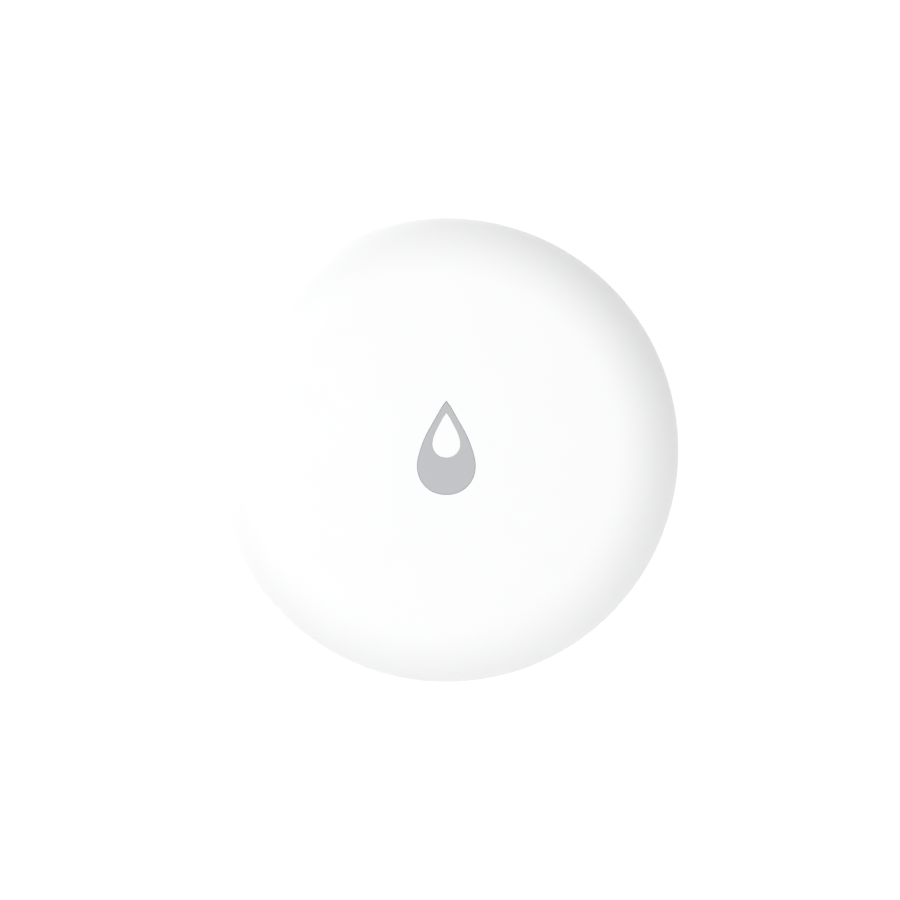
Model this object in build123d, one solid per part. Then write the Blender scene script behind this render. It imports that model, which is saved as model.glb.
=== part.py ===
from build123d import *
from math import acos, asin, atan2, cos, degrees, radians, sin, sqrt
import os

# Water leak sensor: a round puck that lies on the floor and reports water on its underside.
# Lengths are in millimetres. The origin is on the floor under the centre, +Z is up,
# and the tip of the water drop on the top points to +Y.

os.makedirs("parts", exist_ok=True)

# Outer form
sensor_diameter = 50.0
sensor_height = 15.0
crown_radius = 160.0
shoulder_radius = 7.5
side_tuck = 2.5
foot_height = 0.7
cut_overrun = 1.0

# Water drop on the top
drop_width = 6.11
drop_height = 9.83
drop_side_radius = 17.4
drop_lowest_y = -4.7
highlight_size_share = 0.493
highlight_lowest_y = -0.87
highlight_depth = 0.6

# Joint between the two housing halves
seam_below_widest = 1.9
cover_wall = 1.6
skirt_wall = 1.8
tongue_wall = 1.5
tongue_height = 3.4
tongue_clearance = 0.05
housing_groove_depth = 0.75
housing_groove_width = 1.2
housing_groove_below_top = 0.5
snap_depth = 0.3
snap_width = 0.5
snap_above_seam = 0.5
snap_count = 4
snap_angle = 22.0
reveal_depth = 0.4
reveal_width = 0.25
post_radius = 1.0
post_clearance = 0.2
post_wall_gap = 0.2

# Key, boot and retainer under the top
key_clearance = 0.04
key_recess = 0.02
key_travel = 0.3
key_plate = 1.65
key_flange_width = 0.7
key_flange_thickness = 0.7
key_seat_gap = 0.03
key_well_clearance = 0.35
pusher_radius = 1.8
pusher_web_width = 0.7
pusher_web_reach = 3.0
contact_gap = 0.05
boot_pad_radius = 1.9
boot_pad_thickness = 0.75
boot_rim_width = 1.0
boot_rim_thickness = 0.7
boot_web_thickness = 0.3
boot_fold_half_width = 0.7
boot_fold_rise = 0.3
boot_seat_clearance = 0.05
boot_rim_below_pad = 0.4
tower_wall = 2.45
stake_radius = 0.45
stake_head_radius = 0.8
stake_head_height = 0.35
stake_clearance = 0.05
stake_count = 3
retainer_thickness = 0.8
retainer_lap = 0.4
cover_rib_width = 0.8
cover_rib_depth = 1.3
cover_rib_count = 6

# Coin cell of the common 20 mm by 3.2 mm size
cell_diameter = 20.0
cell_height = 3.2
cell_can_wall = 0.25
cell_can_height = 2.95
cell_edge_chamfer = 0.2
cell_gasket_width = 0.95
cell_cap_step = 0.25
cell_lip_width = 0.45

# Battery cover and its bayonet
cell_side_clearance = 0.4
cell_cover_gap = 0.05
cover_plate_thickness = 1.6
cover_flange_thickness = 1.1
cover_flange_gap = 0.05
cover_rim_clearance = 0.12
neck_wall = 0.7
neck_clearance = 0.08
neck_cell_clearance = 0.25
lug_reach = 0.8
lug_height = 0.7
lug_clearance = 0.05
ledge_height = 0.85
lug_count = 3
lug_angle = 30.0
lug_stop_angle = 1.0
entry_angle = 34.0
unlock_angle = 45.0
cover_seal_width = 0.8
cover_seal_depth = 0.65
cover_seal_inset = 0.3
cover_seal_gap = 0.02
cover_rim_width = 0.35
cover_edge_chamfer = 0.2
coin_slot_length = 13.0
coin_slot_width = 1.9
coin_slot_depth = 0.9
slot_ring_width = 0.5
slot_ring_depth = 0.2
mark_radius = 0.45
mark_depth = 0.2
mark_inset = 1.5

# Base housing
base_floor = 1.7
well_wall = 0.7
bay_wall = 1.3
bay_roof = 1.0
bay_top_gap = 0.5
foot_inset = 0.9
foot_width = 1.4
foot_lead = 0.25
foot_gap_angle = 40.0
base_rib_width = 0.9
base_rib_height = 1.8
base_rib_count = 6

# Probes
probe_head_radius = 1.8
probe_head_height = 0.95
probe_head_crown = 0.25
probe_above_floor = 0.35
probe_pocket_clearance = 0.25
probe_shank_radius = 0.9
probe_shank_engagement = 3.0
probe_hole_clearance = 0.05
probe_seal_width = 0.7
probe_seal_height = 0.6
probe_boss_wall = 0.85
probe_boss_height = 0.6
standoff_radius = 1.5
standoff_wall_gap = 0.4
standoff_relief = 0.1
standoff_roof = 0.5
standoff_spigot_radius = 0.8
standoff_spigot_height = 0.3
thread_clearance = 0.02
cross_width = 0.55
cross_length = 2.0
cross_depth = 0.45

# Circuit board and what is soldered to it
contact_space = 1.0
board_thickness = 0.8
board_edge_gap = 0.5
board_hole_clearance = 0.12
board_screw_inset = 2.6
board_screw_count = 3
board_screw_radius = 0.85
board_screw_head_radius = 1.6
board_screw_head_height = 1.0
board_screw_length = 4.0
board_boss_wall = 1.05
switch_width = 5.2
switch_height = 1.1
switch_frame_thickness = 0.15
switch_frame_lap = 0.6
switch_floor = 0.15
plunger_radius = 1.1
plunger_clearance = 0.05
plunger_left_proud = 0.1
plunger_collar_radius = 1.45
plunger_collar_height = 0.3
dome_radius = 1.5
dome_slack = 0.05
dome_thickness = 0.08
contact_thickness = 0.2
contact_bend_radius = 0.3
positive_contact_angle = 120.0
positive_contact_width = 3.0
positive_window_width = 3.8
positive_window_sill = 0.3
positive_touch_gap = 0.02
positive_tab_length = 2.4
positive_leaf_stand = 0.7
positive_tip_above_shoulder = 0.45
negative_contact_width = 4.0
negative_touch_gap = 0.02
negative_tab_length = 4.5
negative_leaf_length = 3.6
negative_tip_length = 1.4
negative_tip_rise = 0.35
shield_size = 7.5
shield_height = 1.15
shield_wall = 0.2
shield_corner = 0.6
radio_chip_size = 5.0
radio_chip_height = 0.8
antenna_width = 0.6
antenna_pitch = 1.5
antenna_depth = 3.4
antenna_turns = 5
antenna_thickness = 0.1
led_length = 1.8
led_width = 1.1
led_base_height = 0.35
led_lens_height = 0.3
led_lens_inset = 0.15
buffer_length = 3.5
buffer_width = 2.8
buffer_height = 1.6
buffer_lead_width = 2.2
buffer_lead_reach = 0.35
buffer_lead_height = 0.7
sense_chip_length = 2.9
sense_chip_width = 1.6
sense_chip_height = 1.1
sense_lead_reach = 0.6
sense_lead_width = 0.4
sense_lead_thickness = 0.2
sense_lead_pitch = 0.95
crystal_length = 3.2
crystal_width = 2.5
crystal_height = 0.7
crystal_lid_inset = 0.25
crystal_lid_height = 0.15
chip_part_length = 1.6
chip_part_width = 0.8
capacitor_height = 0.8
resistor_height = 0.5
chip_end_length = 0.3
chip_end_skin = 0.05

# Cut corner of a squeezed sealing ring, as a share of its thinner side
seal_corner_share = 0.28

# Places on the board, as shares of its radius
shield_place_share = (-0.55, 0.43)
crystal_place_shares = [(-0.16, 0.68), (-0.62, 0.07)]
buffer_place_share = (0.56, 0.50)
sense_place_share = (0.74, -0.12)
led_place_share = (0.0, -0.20)
capacitor_place_shares = [(0.28, 0.62), (0.40, 0.74), (0.62, 0.24), (0.52, -0.14),
                          (-0.62, -0.14), (-0.48, -0.26), (-0.30, -0.44), (0.30, -0.44)]
resistor_place_shares = [(0.20, 0.78), (0.44, 0.28), (0.56, -0.30), (0.80, 0.28),
                         (-0.76, -0.18), (-0.38, 0.80), (-0.52, -0.40), (0.46, -0.46)]

# Worked out: radii
widest_radius = sensor_diameter / 2
skirt_radius = widest_radius - skirt_wall
tongue_radius = skirt_radius - tongue_clearance
cavity_radius = tongue_radius - tongue_wall
board_radius = cavity_radius - board_edge_gap
cell_radius = cell_diameter / 2
cell_cap_radius = cell_radius - cell_can_wall - cell_gasket_width
bay_radius = cell_radius + cell_side_clearance
neck_inner_radius = cell_radius + neck_cell_clearance
neck_radius = neck_inner_radius + neck_wall
neck_bore_radius = neck_radius + neck_clearance
lug_radius = neck_radius + lug_reach
lug_groove_radius = lug_radius + neck_clearance
cover_seal_inner_radius = lug_groove_radius + cover_seal_inset
cover_seal_outer_radius = cover_seal_inner_radius + cover_seal_width
cover_radius = cover_seal_outer_radius + cover_rim_width
recess_radius = cover_radius + cover_rim_clearance
well_radius = recess_radius + well_wall
probe_circle_radius = cavity_radius - standoff_radius - standoff_wall_gap
board_screw_circle_radius = board_radius - board_screw_inset
post_circle_radius = cavity_radius - post_radius - post_wall_gap

# Worked out: the outer form's arcs
blend_cos = (widest_radius - shoulder_radius) / (crown_radius - shoulder_radius)
blend_angle = degrees(acos(blend_cos))
crown_centre_height = sensor_height - crown_radius
widest_height = crown_centre_height + (crown_radius - shoulder_radius) * sqrt(1 - blend_cos**2)
side_rise = widest_height - foot_height
side_radius = (side_tuck**2 + side_rise**2) / (2 * side_tuck)
seam_height = widest_height - seam_below_widest

# Worked out: heights, from the floor up
inner_floor = foot_height + base_floor
recess_ceiling = foot_height + cover_flange_thickness + cover_flange_gap
ledge_top = recess_ceiling + ledge_height
lug_bottom = ledge_top + lug_clearance
lug_top = lug_bottom + lug_height
shoulder_height = lug_top + lug_clearance
cell_bottom = foot_height + cover_plate_thickness + cell_cover_gap
cell_top = cell_bottom + cell_height
board_bottom = cell_top + contact_space
board_top = board_bottom + board_thickness
bay_top = board_bottom - bay_top_gap
tongue_top = seam_height + tongue_height
switch_top = board_top + switch_height
frame_top = switch_top + switch_frame_thickness
plunger_top = frame_top + key_travel + plunger_left_proud
dome_rise = key_travel + dome_slack
pad_bottom = plunger_top + contact_gap
pad_top = pad_bottom + boot_pad_thickness
tower_bottom = pad_top - boot_rim_below_pad
rim_top = tower_bottom + boot_rim_thickness
retainer_bottom = tower_bottom - retainer_thickness
key_seat = sensor_height - key_plate
flange_top = key_seat - key_seat_gap
flange_bottom = flange_top - key_flange_thickness

# Worked out: the key's well and the boot's seat
drop_reach = max(-drop_lowest_y, drop_lowest_y + drop_height) + key_flange_width
key_well_radius = drop_reach + key_well_clearance
boot_seat_radius = key_well_radius + boot_rim_width - boot_seat_clearance
boot_rim_radius = boot_seat_radius - boot_seat_clearance
tower_radius = key_well_radius + tower_wall
stake_circle_radius = (boot_seat_radius + tower_radius) / 2
retainer_inner_radius = boot_rim_radius - boot_rim_width - retainer_lap


def disc(radius, bottom, top):
    """A round solid about the Z axis between two heights."""
    flat = (Align.CENTER, Align.CENTER, Align.MIN)
    return Pos(0, 0, bottom) * Cylinder(radius, top - bottom, align=flat)


def ring(inner_radius, outer_radius, bottom, top):
    """A round wall about the Z axis between two heights."""
    return disc(outer_radius, bottom, top) - disc(inner_radius, bottom, top)


def block(length, width, bottom, top):
    """A box centred on the Z axis between two heights."""
    flat = (Align.CENTER, Align.CENTER, Align.MIN)
    return Pos(0, 0, bottom) * Box(length, width, top - bottom, align=flat)


def sector(inner_radius, outer_radius, bottom, top, middle_angle, width_angle):
    """Part of a round wall, centred on one angle about the Z axis."""
    wall = Pos((inner_radius + outer_radius) / 2, (bottom + top) / 2)
    wall *= Rectangle(outer_radius - inner_radius, top - bottom)
    turned = revolve(Plane.XZ * wall, Axis.Z, revolution_arc=width_angle)
    return Rot(0, 0, middle_angle - width_angle / 2) * turned


def around(shape, count, first_angle=0.0):
    """Copies of a shape, evenly spaced about the Z axis."""
    return [Rot(0, 0, first_angle + 360 * step / count) * shape for step in range(count)]


def at_angle(shape, radius, angle):
    """A shape moved out from the Z axis by a radius, at an angle."""
    return Rot(0, 0, angle) * Pos(radius, 0, 0) * shape


def on_board(shape, place_share):
    """A shape moved to its place on the board, given as shares of the board's radius."""
    return Pos(board_radius * place_share[0], board_radius * place_share[1], 0) * shape


def squeezed_ring(inner_radius, outer_radius, bottom, top):
    """A sealing ring in its groove, squeezed until its section has flat lands and cut corners."""
    width = outer_radius - inner_radius
    height = top - bottom
    section = Rectangle(width, height)
    section = chamfer(section.vertices(), min(width, height) * seal_corner_share)
    middle = Pos((inner_radius + outer_radius) / 2, (bottom + top) / 2)
    return revolve(Plane.XZ * (middle * section), Axis.Z)


def pebble(inset):
    """The whole outer form above the feet, drawn in on every side by the inset."""
    underside = foot_height + inset
    crown = crown_radius - inset
    shoulder = shoulder_radius - inset
    side = side_radius - inset
    side_centre = widest_radius - side_radius
    side_angle = degrees(asin((widest_height - underside) / side))
    side_end = side_centre + side * cos(radians(side_angle))
    outline = Line((0, crown_centre_height + crown), (0, underside))
    outline += Line((0, underside), (side_end, underside))
    outline += CenterArc((side_centre, widest_height), side, -side_angle, side_angle)
    outline += CenterArc((widest_radius - shoulder_radius, widest_height), shoulder, 0, blend_angle)
    outline += CenterArc((0, crown_centre_height), crown, blend_angle, 90 - blend_angle)
    return revolve(Plane.XZ * make_face(outline), Axis.Z)


def side_surface_radius(height):
    """Radius of the outer form at a height below its widest place."""
    below = widest_height - height
    return widest_radius - side_radius + sqrt(side_radius**2 - below**2)


def drop_face(size_share, lowest_y, grow):
    """A water drop with its tip towards +Y: a round bulb and two arcs that meet at the tip."""
    bulb = size_share * drop_width / 2
    rise = size_share * drop_height - bulb
    side = size_share * drop_side_radius
    reach = side - bulb
    turn = asin((2 * side * bulb - bulb**2 - rise**2) / (2 * rise * reach))
    side_x = reach * cos(turn)
    side_y = -reach * sin(turn)
    tip_y = side_y + sqrt((side + grow)**2 - side_x**2)
    tip_angle = degrees(atan2(tip_y - side_y, side_x))
    turn_angle = degrees(turn)
    outline = CenterArc((0, 0), bulb + grow, 180 - turn_angle, 180 + 2 * turn_angle)
    outline += CenterArc((-side_x, side_y), side + grow, turn_angle, tip_angle - turn_angle)
    outline += CenterArc((side_x, side_y), side + grow, 180 - tip_angle, tip_angle - turn_angle)
    return Pos(0, lowest_y + bulb) * make_face(outline)


def drop_prism(grow, bottom, top):
    """The drop as an upright solid between two heights."""
    return Pos(0, 0, bottom) * extrude(drop_face(1, drop_lowest_y, grow), top - bottom)


def cross_recess(bottom, top):
    """Cutter for the cross recess in a screw head."""
    bar = block(cross_length, cross_width, bottom, top)
    return bar + Rot(0, 0, 90) * bar


def stamped_strip(path, width, plane):
    """A bent metal strip: its centre line given thickness, then width."""
    return extrude(plane * trace(path, contact_thickness), width / 2, both=True)


def make_top_cover():
    """White domed shell; inside it has the key's tower, stakes, ribs, snap groove and locating post."""
    hollow = pebble(cover_wall) & disc(skirt_radius, 0, sensor_height)
    hollow += disc(skirt_radius, 0, tongue_top + tongue_clearance)
    shell = pebble(0) - hollow - disc(sensor_diameter, 0, seam_height)
    tower = disc(tower_radius, tower_bottom, sensor_height) & pebble(cover_wall / 2)
    rib_outer = widest_radius - shoulder_radius
    rib_bottom = sensor_height - cover_wall - cover_rib_depth
    rib = Pos(rib_outer / 2, 0, 0) * block(rib_outer, cover_rib_width, rib_bottom, sensor_height)
    rib &= pebble(cover_wall / 2)
    cover = shell + tower + around(rib, cover_rib_count, 180 / cover_rib_count)
    cover -= disc(key_well_radius, tower_bottom - cut_overrun, key_seat)
    cover -= disc(boot_seat_radius, tower_bottom - cut_overrun, rim_top)
    cover -= drop_prism(key_clearance, key_seat - cut_overrun, sensor_height + cut_overrun)
    stake = disc(stake_radius, retainer_bottom, rim_top)
    stake += disc(stake_head_radius, retainer_bottom - stake_head_height, retainer_bottom)
    cover += around(Pos(stake_circle_radius, 0, 0) * stake, stake_count)
    groove_bottom = seam_height + snap_above_seam - tongue_clearance
    groove_top = groove_bottom + snap_width + 2 * tongue_clearance
    cover -= ring(skirt_radius - cut_overrun, skirt_radius + snap_depth, groove_bottom, groove_top)
    post = disc(post_radius, board_bottom, sensor_height)
    post &= Pos(-post_circle_radius, 0, 0) * pebble(cover_wall / 2)
    return cover + at_angle(post, post_circle_radius, 270)


def make_drop_key():
    """Grey drop-shaped key with its flange, pusher and webs, and a pocket for the highlight."""
    body = drop_prism(0, flange_bottom, sensor_height) & pebble(key_recess)
    flange = drop_prism(key_flange_width, flange_bottom, flange_top)
    body += flange & disc(drop_reach, flange_bottom, flange_top)
    body += disc(pusher_radius, pad_top + contact_gap, flange_bottom)
    web_bottom = (flange_bottom + pad_top + contact_gap) / 2
    web = block(2 * pusher_web_reach, pusher_web_width, web_bottom, flange_bottom)
    body += Rot(0, 0, 90) * web
    return body - highlight_prism()


def highlight_prism():
    """The small white drop, from its pocket's floor up past the key's top."""
    face = drop_face(highlight_size_share, highlight_lowest_y, 0)
    return Pos(0, 0, sensor_height - highlight_depth) * extrude(face, highlight_depth)


def make_drop_highlight():
    """White inlay of the drop, flush with the key's top."""
    return highlight_prism() & pebble(key_recess)


def make_key_boot():
    """Silicone boot: a clamped rim, a thin web with one fold, and a pad over the switch."""
    rim_inner = boot_rim_radius - boot_rim_width
    fold_middle = (boot_pad_radius + rim_inner) / 2
    web_height = tower_bottom + boot_web_thickness / 2
    web_line = Polyline((boot_pad_radius - boot_web_thickness, web_height),
                        (fold_middle - boot_fold_half_width, web_height),
                        (fold_middle - boot_fold_half_width / 2, web_height + boot_fold_rise),
                        (fold_middle + boot_fold_half_width / 2, web_height + boot_fold_rise),
                        (fold_middle + boot_fold_half_width, web_height),
                        (rim_inner + boot_web_thickness, web_height))
    web = revolve(Plane.XZ * trace(web_line, boot_web_thickness), Axis.Z)
    rim = ring(rim_inner, boot_rim_radius, tower_bottom, rim_top)
    return web + rim + disc(boot_pad_radius, pad_bottom, pad_top)


def make_boot_retainer():
    """Ring that clamps the boot's rim, staked to the tower."""
    hole = disc(stake_radius + stake_clearance, retainer_bottom, tower_bottom)
    plate = ring(retainer_inner_radius, tower_radius, retainer_bottom, tower_bottom)
    return plate - around(Pos(stake_circle_radius, 0, 0) * hole, stake_count)


def make_housing_seal():
    """Silicone ring between the tongue and the cover's skirt."""
    groove_top = tongue_top - housing_groove_below_top
    floor_radius = tongue_radius - housing_groove_depth
    return squeezed_ring(floor_radius, skirt_radius, groove_top - housing_groove_width, groove_top)


def base_well():
    """Boss round the battery opening, with the bay's wall above it."""
    boss = disc(well_radius, foot_height, shoulder_height + bay_roof)
    return boss + disc(bay_radius + bay_wall, foot_height, bay_top)


def base_bosses():
    """Bosses for the board's screws and the probes, and the ribs between them."""
    screw_boss = disc(board_screw_radius + board_boss_wall, foot_height, board_bottom)
    probe_boss_radius = probe_shank_radius + probe_seal_width + probe_boss_wall
    probe_boss = disc(probe_boss_radius, foot_height, inner_floor + probe_boss_height)
    rib_length = cavity_radius - bay_radius
    rib = block(rib_length, base_rib_width, foot_height, inner_floor + base_rib_height)
    rib = Pos(bay_radius + rib_length / 2, 0, 0) * rib
    bosses = around(at_angle(screw_boss, board_screw_circle_radius, 90), board_screw_count)
    bosses += around(at_angle(probe_boss, probe_circle_radius, 0), 2)
    return bosses + around(rib, base_rib_count, 90)


def battery_opening():
    """Cutter for the cover's recess, the bayonet and the cell's bay."""
    cutter = disc(recess_radius, foot_height - cut_overrun, recess_ceiling)
    cutter += disc(neck_bore_radius, foot_height, shoulder_height)
    cutter += disc(bay_radius, foot_height, bay_top + cut_overrun)
    locked_edge = lug_angle / 2 + lug_stop_angle
    open_edge = -unlock_angle - entry_angle / 2
    groove_angle = locked_edge - open_edge
    groove_middle = (locked_edge + open_edge) / 2
    groove = sector(bay_radius, lug_groove_radius, ledge_top, shoulder_height, groove_middle, groove_angle)
    entry = sector(bay_radius, lug_groove_radius, foot_height, shoulder_height, -unlock_angle, entry_angle)
    cutter += around(groove, lug_count) + around(entry, lug_count)
    window = block(positive_window_width, bay_wall + cut_overrun,
                   shoulder_height + positive_window_sill, bay_top + cut_overrun)
    return cutter + at_angle(Rot(0, 0, 90) * window, bay_radius + bay_wall / 2, positive_contact_angle)


def probe_cutters():
    """Cutter for one probe's pocket, seal seat and hole, and room for its standoff."""
    pocket_top = probe_above_floor + probe_head_height
    pocket = disc(probe_head_radius + probe_pocket_clearance, 0, pocket_top)
    seat = disc(probe_shank_radius + probe_seal_width, 0, pocket_top + probe_seal_height)
    hole = disc(probe_shank_radius + probe_hole_clearance, 0, board_bottom)
    relief = disc(standoff_radius + standoff_relief, inner_floor + probe_boss_height, board_bottom)
    return pocket + seat + hole + relief


def foot():
    """One arc-shaped foot, open towards the probes so that water can reach them."""
    outer = widest_radius - side_tuck - foot_inset
    inner = outer - foot_width
    outline = Polyline((inner, inner_floor), (inner, foot_height), (inner + foot_lead, 0),
                       (outer - foot_lead, 0), (outer, foot_height), (outer, inner_floor), close=True)
    sweep_angle = 180 - foot_gap_angle
    turned = revolve(Plane.XZ * make_face(outline), Axis.Z, revolution_arc=sweep_angle)
    return Rot(0, 0, foot_gap_angle / 2) * turned


def make_base_housing():
    """White lower housing: tucked-in side, tongue, battery well, bosses, feet and pockets."""
    base = pebble(0) & disc(sensor_diameter, 0, seam_height)
    base += disc(tongue_radius, foot_height, tongue_top) & pebble(0)
    base -= disc(cavity_radius, inner_floor, tongue_top + cut_overrun)
    base += base_well()
    base += base_bosses()
    base += around(foot(), 2)
    groove_top = tongue_top - housing_groove_below_top
    base -= ring(tongue_radius - housing_groove_depth, tongue_radius + cut_overrun,
                 groove_top - housing_groove_width, groove_top)
    snap_bottom = seam_height + snap_above_seam
    snap_inner = tongue_radius - housing_groove_depth
    snap = sector(snap_inner, tongue_radius + snap_depth, snap_bottom,
                  snap_bottom + snap_width, 0, snap_angle)
    base += around(snap, snap_count)
    reveal_radius = side_surface_radius(seam_height) - reveal_depth
    base -= ring(reveal_radius, sensor_diameter, seam_height - reveal_width, seam_height + snap_above_seam)
    base -= battery_opening()
    screw_bore = disc(board_screw_radius + thread_clearance, board_bottom - board_screw_length, board_top)
    base -= around(at_angle(screw_bore, board_screw_circle_radius, 90), board_screw_count)
    base -= around(at_angle(probe_cutters(), probe_circle_radius, 0), 2)
    mark = disc(mark_radius, 0, foot_height + mark_depth)
    mark_circle_radius = recess_radius + mark_inset
    base -= at_angle(mark, mark_circle_radius, 90)
    base -= at_angle(mark, mark_circle_radius, 90 - unlock_angle)
    return base


def make_battery_cover():
    """Round cover with a coin slot outside, and a neck with bayonet lugs inside."""
    plate_top = foot_height + cover_plate_thickness
    flange_face = foot_height + cover_flange_thickness
    cover = disc(cover_radius, foot_height, flange_face)
    cover = chamfer(cover.edges().sort_by(Axis.Z)[0], cover_edge_chamfer)
    cover += disc(neck_radius, foot_height, lug_top)
    cover -= disc(neck_inner_radius, plate_top, lug_top + cut_overrun)
    lug = sector(neck_inner_radius, lug_radius, lug_bottom, lug_top, 0, lug_angle)
    cover += around(lug, lug_count)
    cover -= ring(cover_seal_inner_radius, cover_seal_outer_radius,
                  flange_face - cover_seal_depth, flange_face + cut_overrun)
    slot_outline = SlotOverall(coin_slot_length, coin_slot_width)
    cover -= Pos(0, 0, foot_height) * extrude(slot_outline, coin_slot_depth)
    groove_inner = coin_slot_length / 2 + slot_ring_width
    cover -= ring(groove_inner, groove_inner + slot_ring_width, 0, foot_height + slot_ring_depth)
    pointer = disc(mark_radius, 0, foot_height + mark_depth)
    return cover - at_angle(pointer, cover_radius - mark_inset, 90)


def make_battery_cover_seal():
    """Silicone ring in the flange's groove, which seals on the recess's ceiling."""
    groove_floor = foot_height + cover_flange_thickness - cover_seal_depth
    return squeezed_ring(cover_seal_inner_radius, cover_seal_outer_radius,
                         groove_floor, recess_ceiling - cover_seal_gap)


def make_cell_can():
    """Steel can of the coin cell, positive, with its lip turned in at the top."""
    can_top = cell_bottom + cell_can_height
    can = disc(cell_radius, cell_bottom, can_top)
    can = chamfer(can.edges().filter_by(GeomType.CIRCLE), cell_edge_chamfer)
    can -= disc(cell_radius - cell_can_wall, cell_bottom + cell_can_wall, can_top - cell_can_wall)
    return can - disc(cell_radius - cell_can_wall - cell_lip_width, cell_bottom + cell_can_wall,
                      can_top + cut_overrun)


def make_cell_cap():
    """Steel cap of the coin cell, negative, with its raised face and the filling under it."""
    cap = disc(cell_cap_radius, cell_bottom + 2 * cell_can_wall, cell_top - cell_cap_step)
    return cap + disc(cell_cap_radius - cell_cap_step, cell_bottom + 2 * cell_can_wall, cell_top)


def make_cell_gasket():
    """Plastic gasket between the can and the cap."""
    can_top = cell_bottom + cell_can_height
    lower = disc(cell_radius - cell_can_wall, cell_bottom + cell_can_wall, can_top - cell_can_wall)
    lip = disc(cell_radius - cell_can_wall - cell_lip_width, cell_bottom + cell_can_wall, can_top)
    return lower + lip - disc(cell_cap_radius, cell_bottom + 2 * cell_can_wall, cell_top)


def make_probe_screws():
    """The two metal probes: pan-head screws whose heads hang just above the floor."""
    head_top = probe_above_floor + probe_head_height
    head = disc(probe_head_radius, probe_above_floor, head_top)
    head = chamfer(head.edges().sort_by(Axis.Z)[0], probe_head_crown)
    screw = head + disc(probe_shank_radius, probe_above_floor + probe_head_crown,
                        inner_floor + probe_boss_height + probe_shank_engagement)
    screw -= cross_recess(0, probe_above_floor + cross_depth)
    return around(at_angle(screw, probe_circle_radius, 0), 2)


def make_probe_seals():
    """A small sealing ring round each probe, pressed square into its seat above the head."""
    bottom = probe_above_floor + probe_head_height
    seal = ring(probe_shank_radius, probe_shank_radius + probe_seal_width,
                bottom, bottom + probe_seal_height)
    return around(at_angle(seal, probe_circle_radius, 0), 2)


def make_probe_standoffs():
    """Brass standoffs that carry each probe's signal up to the board."""
    bottom = inner_floor + probe_boss_height
    body = disc(standoff_radius, bottom, board_bottom)
    body += disc(standoff_spigot_radius, board_bottom, board_top + standoff_spigot_height)
    body -= disc(probe_shank_radius + thread_clearance, bottom, board_bottom - standoff_roof)
    return around(at_angle(body, probe_circle_radius, 0), 2)


def make_circuit_board():
    """Round board with holes for its screws and the standoffs' spigots, and a notch for the post."""
    board = disc(board_radius, board_bottom, board_top)
    screw_hole = disc(board_screw_radius + board_hole_clearance, board_bottom, board_top)
    board -= around(at_angle(screw_hole, board_screw_circle_radius, 90), board_screw_count)
    spigot_hole = disc(standoff_spigot_radius + board_hole_clearance, board_bottom, board_top)
    board -= around(at_angle(spigot_hole, probe_circle_radius, 0), 2)
    notch = disc(post_radius + post_clearance, board_bottom, board_top)
    return board - at_angle(notch, post_circle_radius, 270)


def make_board_screws():
    """Three pan-head screws that hold the board on its bosses."""
    screw = disc(board_screw_head_radius, board_top, board_top + board_screw_head_height)
    screw += disc(board_screw_radius, board_bottom - board_screw_length, board_top)
    head_top = board_top + board_screw_head_height
    screw -= cross_recess(head_top - cross_depth, head_top)
    return around(at_angle(screw, board_screw_circle_radius, 90), board_screw_count)


def make_switch_body():
    """Moulded body of the tact switch with the pocket for its dome and plunger."""
    body = block(switch_width, switch_width, board_top, switch_top)
    pocket_radius = max(plunger_collar_radius, dome_radius) + plunger_clearance
    return body - disc(pocket_radius, board_top + switch_floor, switch_top)


def make_switch_frame():
    """Steel frame over the tact switch, folded down on two sides."""
    frame = block(switch_width, switch_width, switch_top, frame_top)
    side = block(switch_frame_thickness, switch_width - 2 * switch_frame_lap,
                 board_top + switch_floor, frame_top)
    side = Pos((switch_width + switch_frame_thickness) / 2, 0, 0) * side
    frame += around(side, 2)
    return frame - disc(plunger_radius + plunger_clearance, switch_top, frame_top)


def make_switch_dome():
    """Thin snap dome under the plunger, which returns the key."""
    bottom = board_top + switch_floor
    sphere_radius = (dome_radius**2 + dome_rise**2) / (2 * dome_rise)
    centre_height = bottom + dome_rise - sphere_radius
    outer = Pos(0, 0, centre_height) * Sphere(sphere_radius)
    inner = Pos(0, 0, centre_height) * Sphere(sphere_radius - dome_thickness)
    return (outer - inner) & disc(dome_radius, bottom, bottom + dome_rise)


def make_switch_plunger():
    """Plunger of the tact switch: a stem through the frame and a collar under it."""
    collar_top = switch_top - plunger_clearance
    bottom = board_top + switch_floor + dome_rise + contact_gap
    collar_bottom = max(bottom, collar_top - plunger_collar_height)
    return disc(plunger_radius, bottom, plunger_top) + disc(plunger_collar_radius, collar_bottom, collar_top)


def make_positive_contact():
    """Bent leaf from the board down to the side of the cell's can."""
    tab_height = board_bottom - contact_thickness / 2
    touch = cell_radius + contact_thickness / 2 + positive_touch_gap
    tip_height = shoulder_height + positive_tip_above_shoulder
    touch_height = tip_height + positive_leaf_stand
    stand = touch + positive_leaf_stand
    path = FilletPolyline((stand + positive_tab_length, tab_height), (stand, tab_height),
                          (touch, touch_height), (touch + positive_leaf_stand / 2, tip_height),
                          radius=contact_bend_radius)
    return Rot(0, 0, positive_contact_angle) * stamped_strip(path, positive_contact_width, Plane.XZ)


def make_negative_contact():
    """Bent leaf from the board down to the middle of the cell's cap."""
    tab_height = board_bottom - contact_thickness / 2
    touch_height = cell_top + contact_thickness / 2 + negative_touch_gap
    path = FilletPolyline((-negative_leaf_length - negative_tab_length, tab_height),
                          (-negative_leaf_length, tab_height), (0, touch_height),
                          (negative_tip_length, touch_height + negative_tip_rise),
                          radius=contact_bend_radius)
    return stamped_strip(path, negative_contact_width, Plane.XZ)


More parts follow.
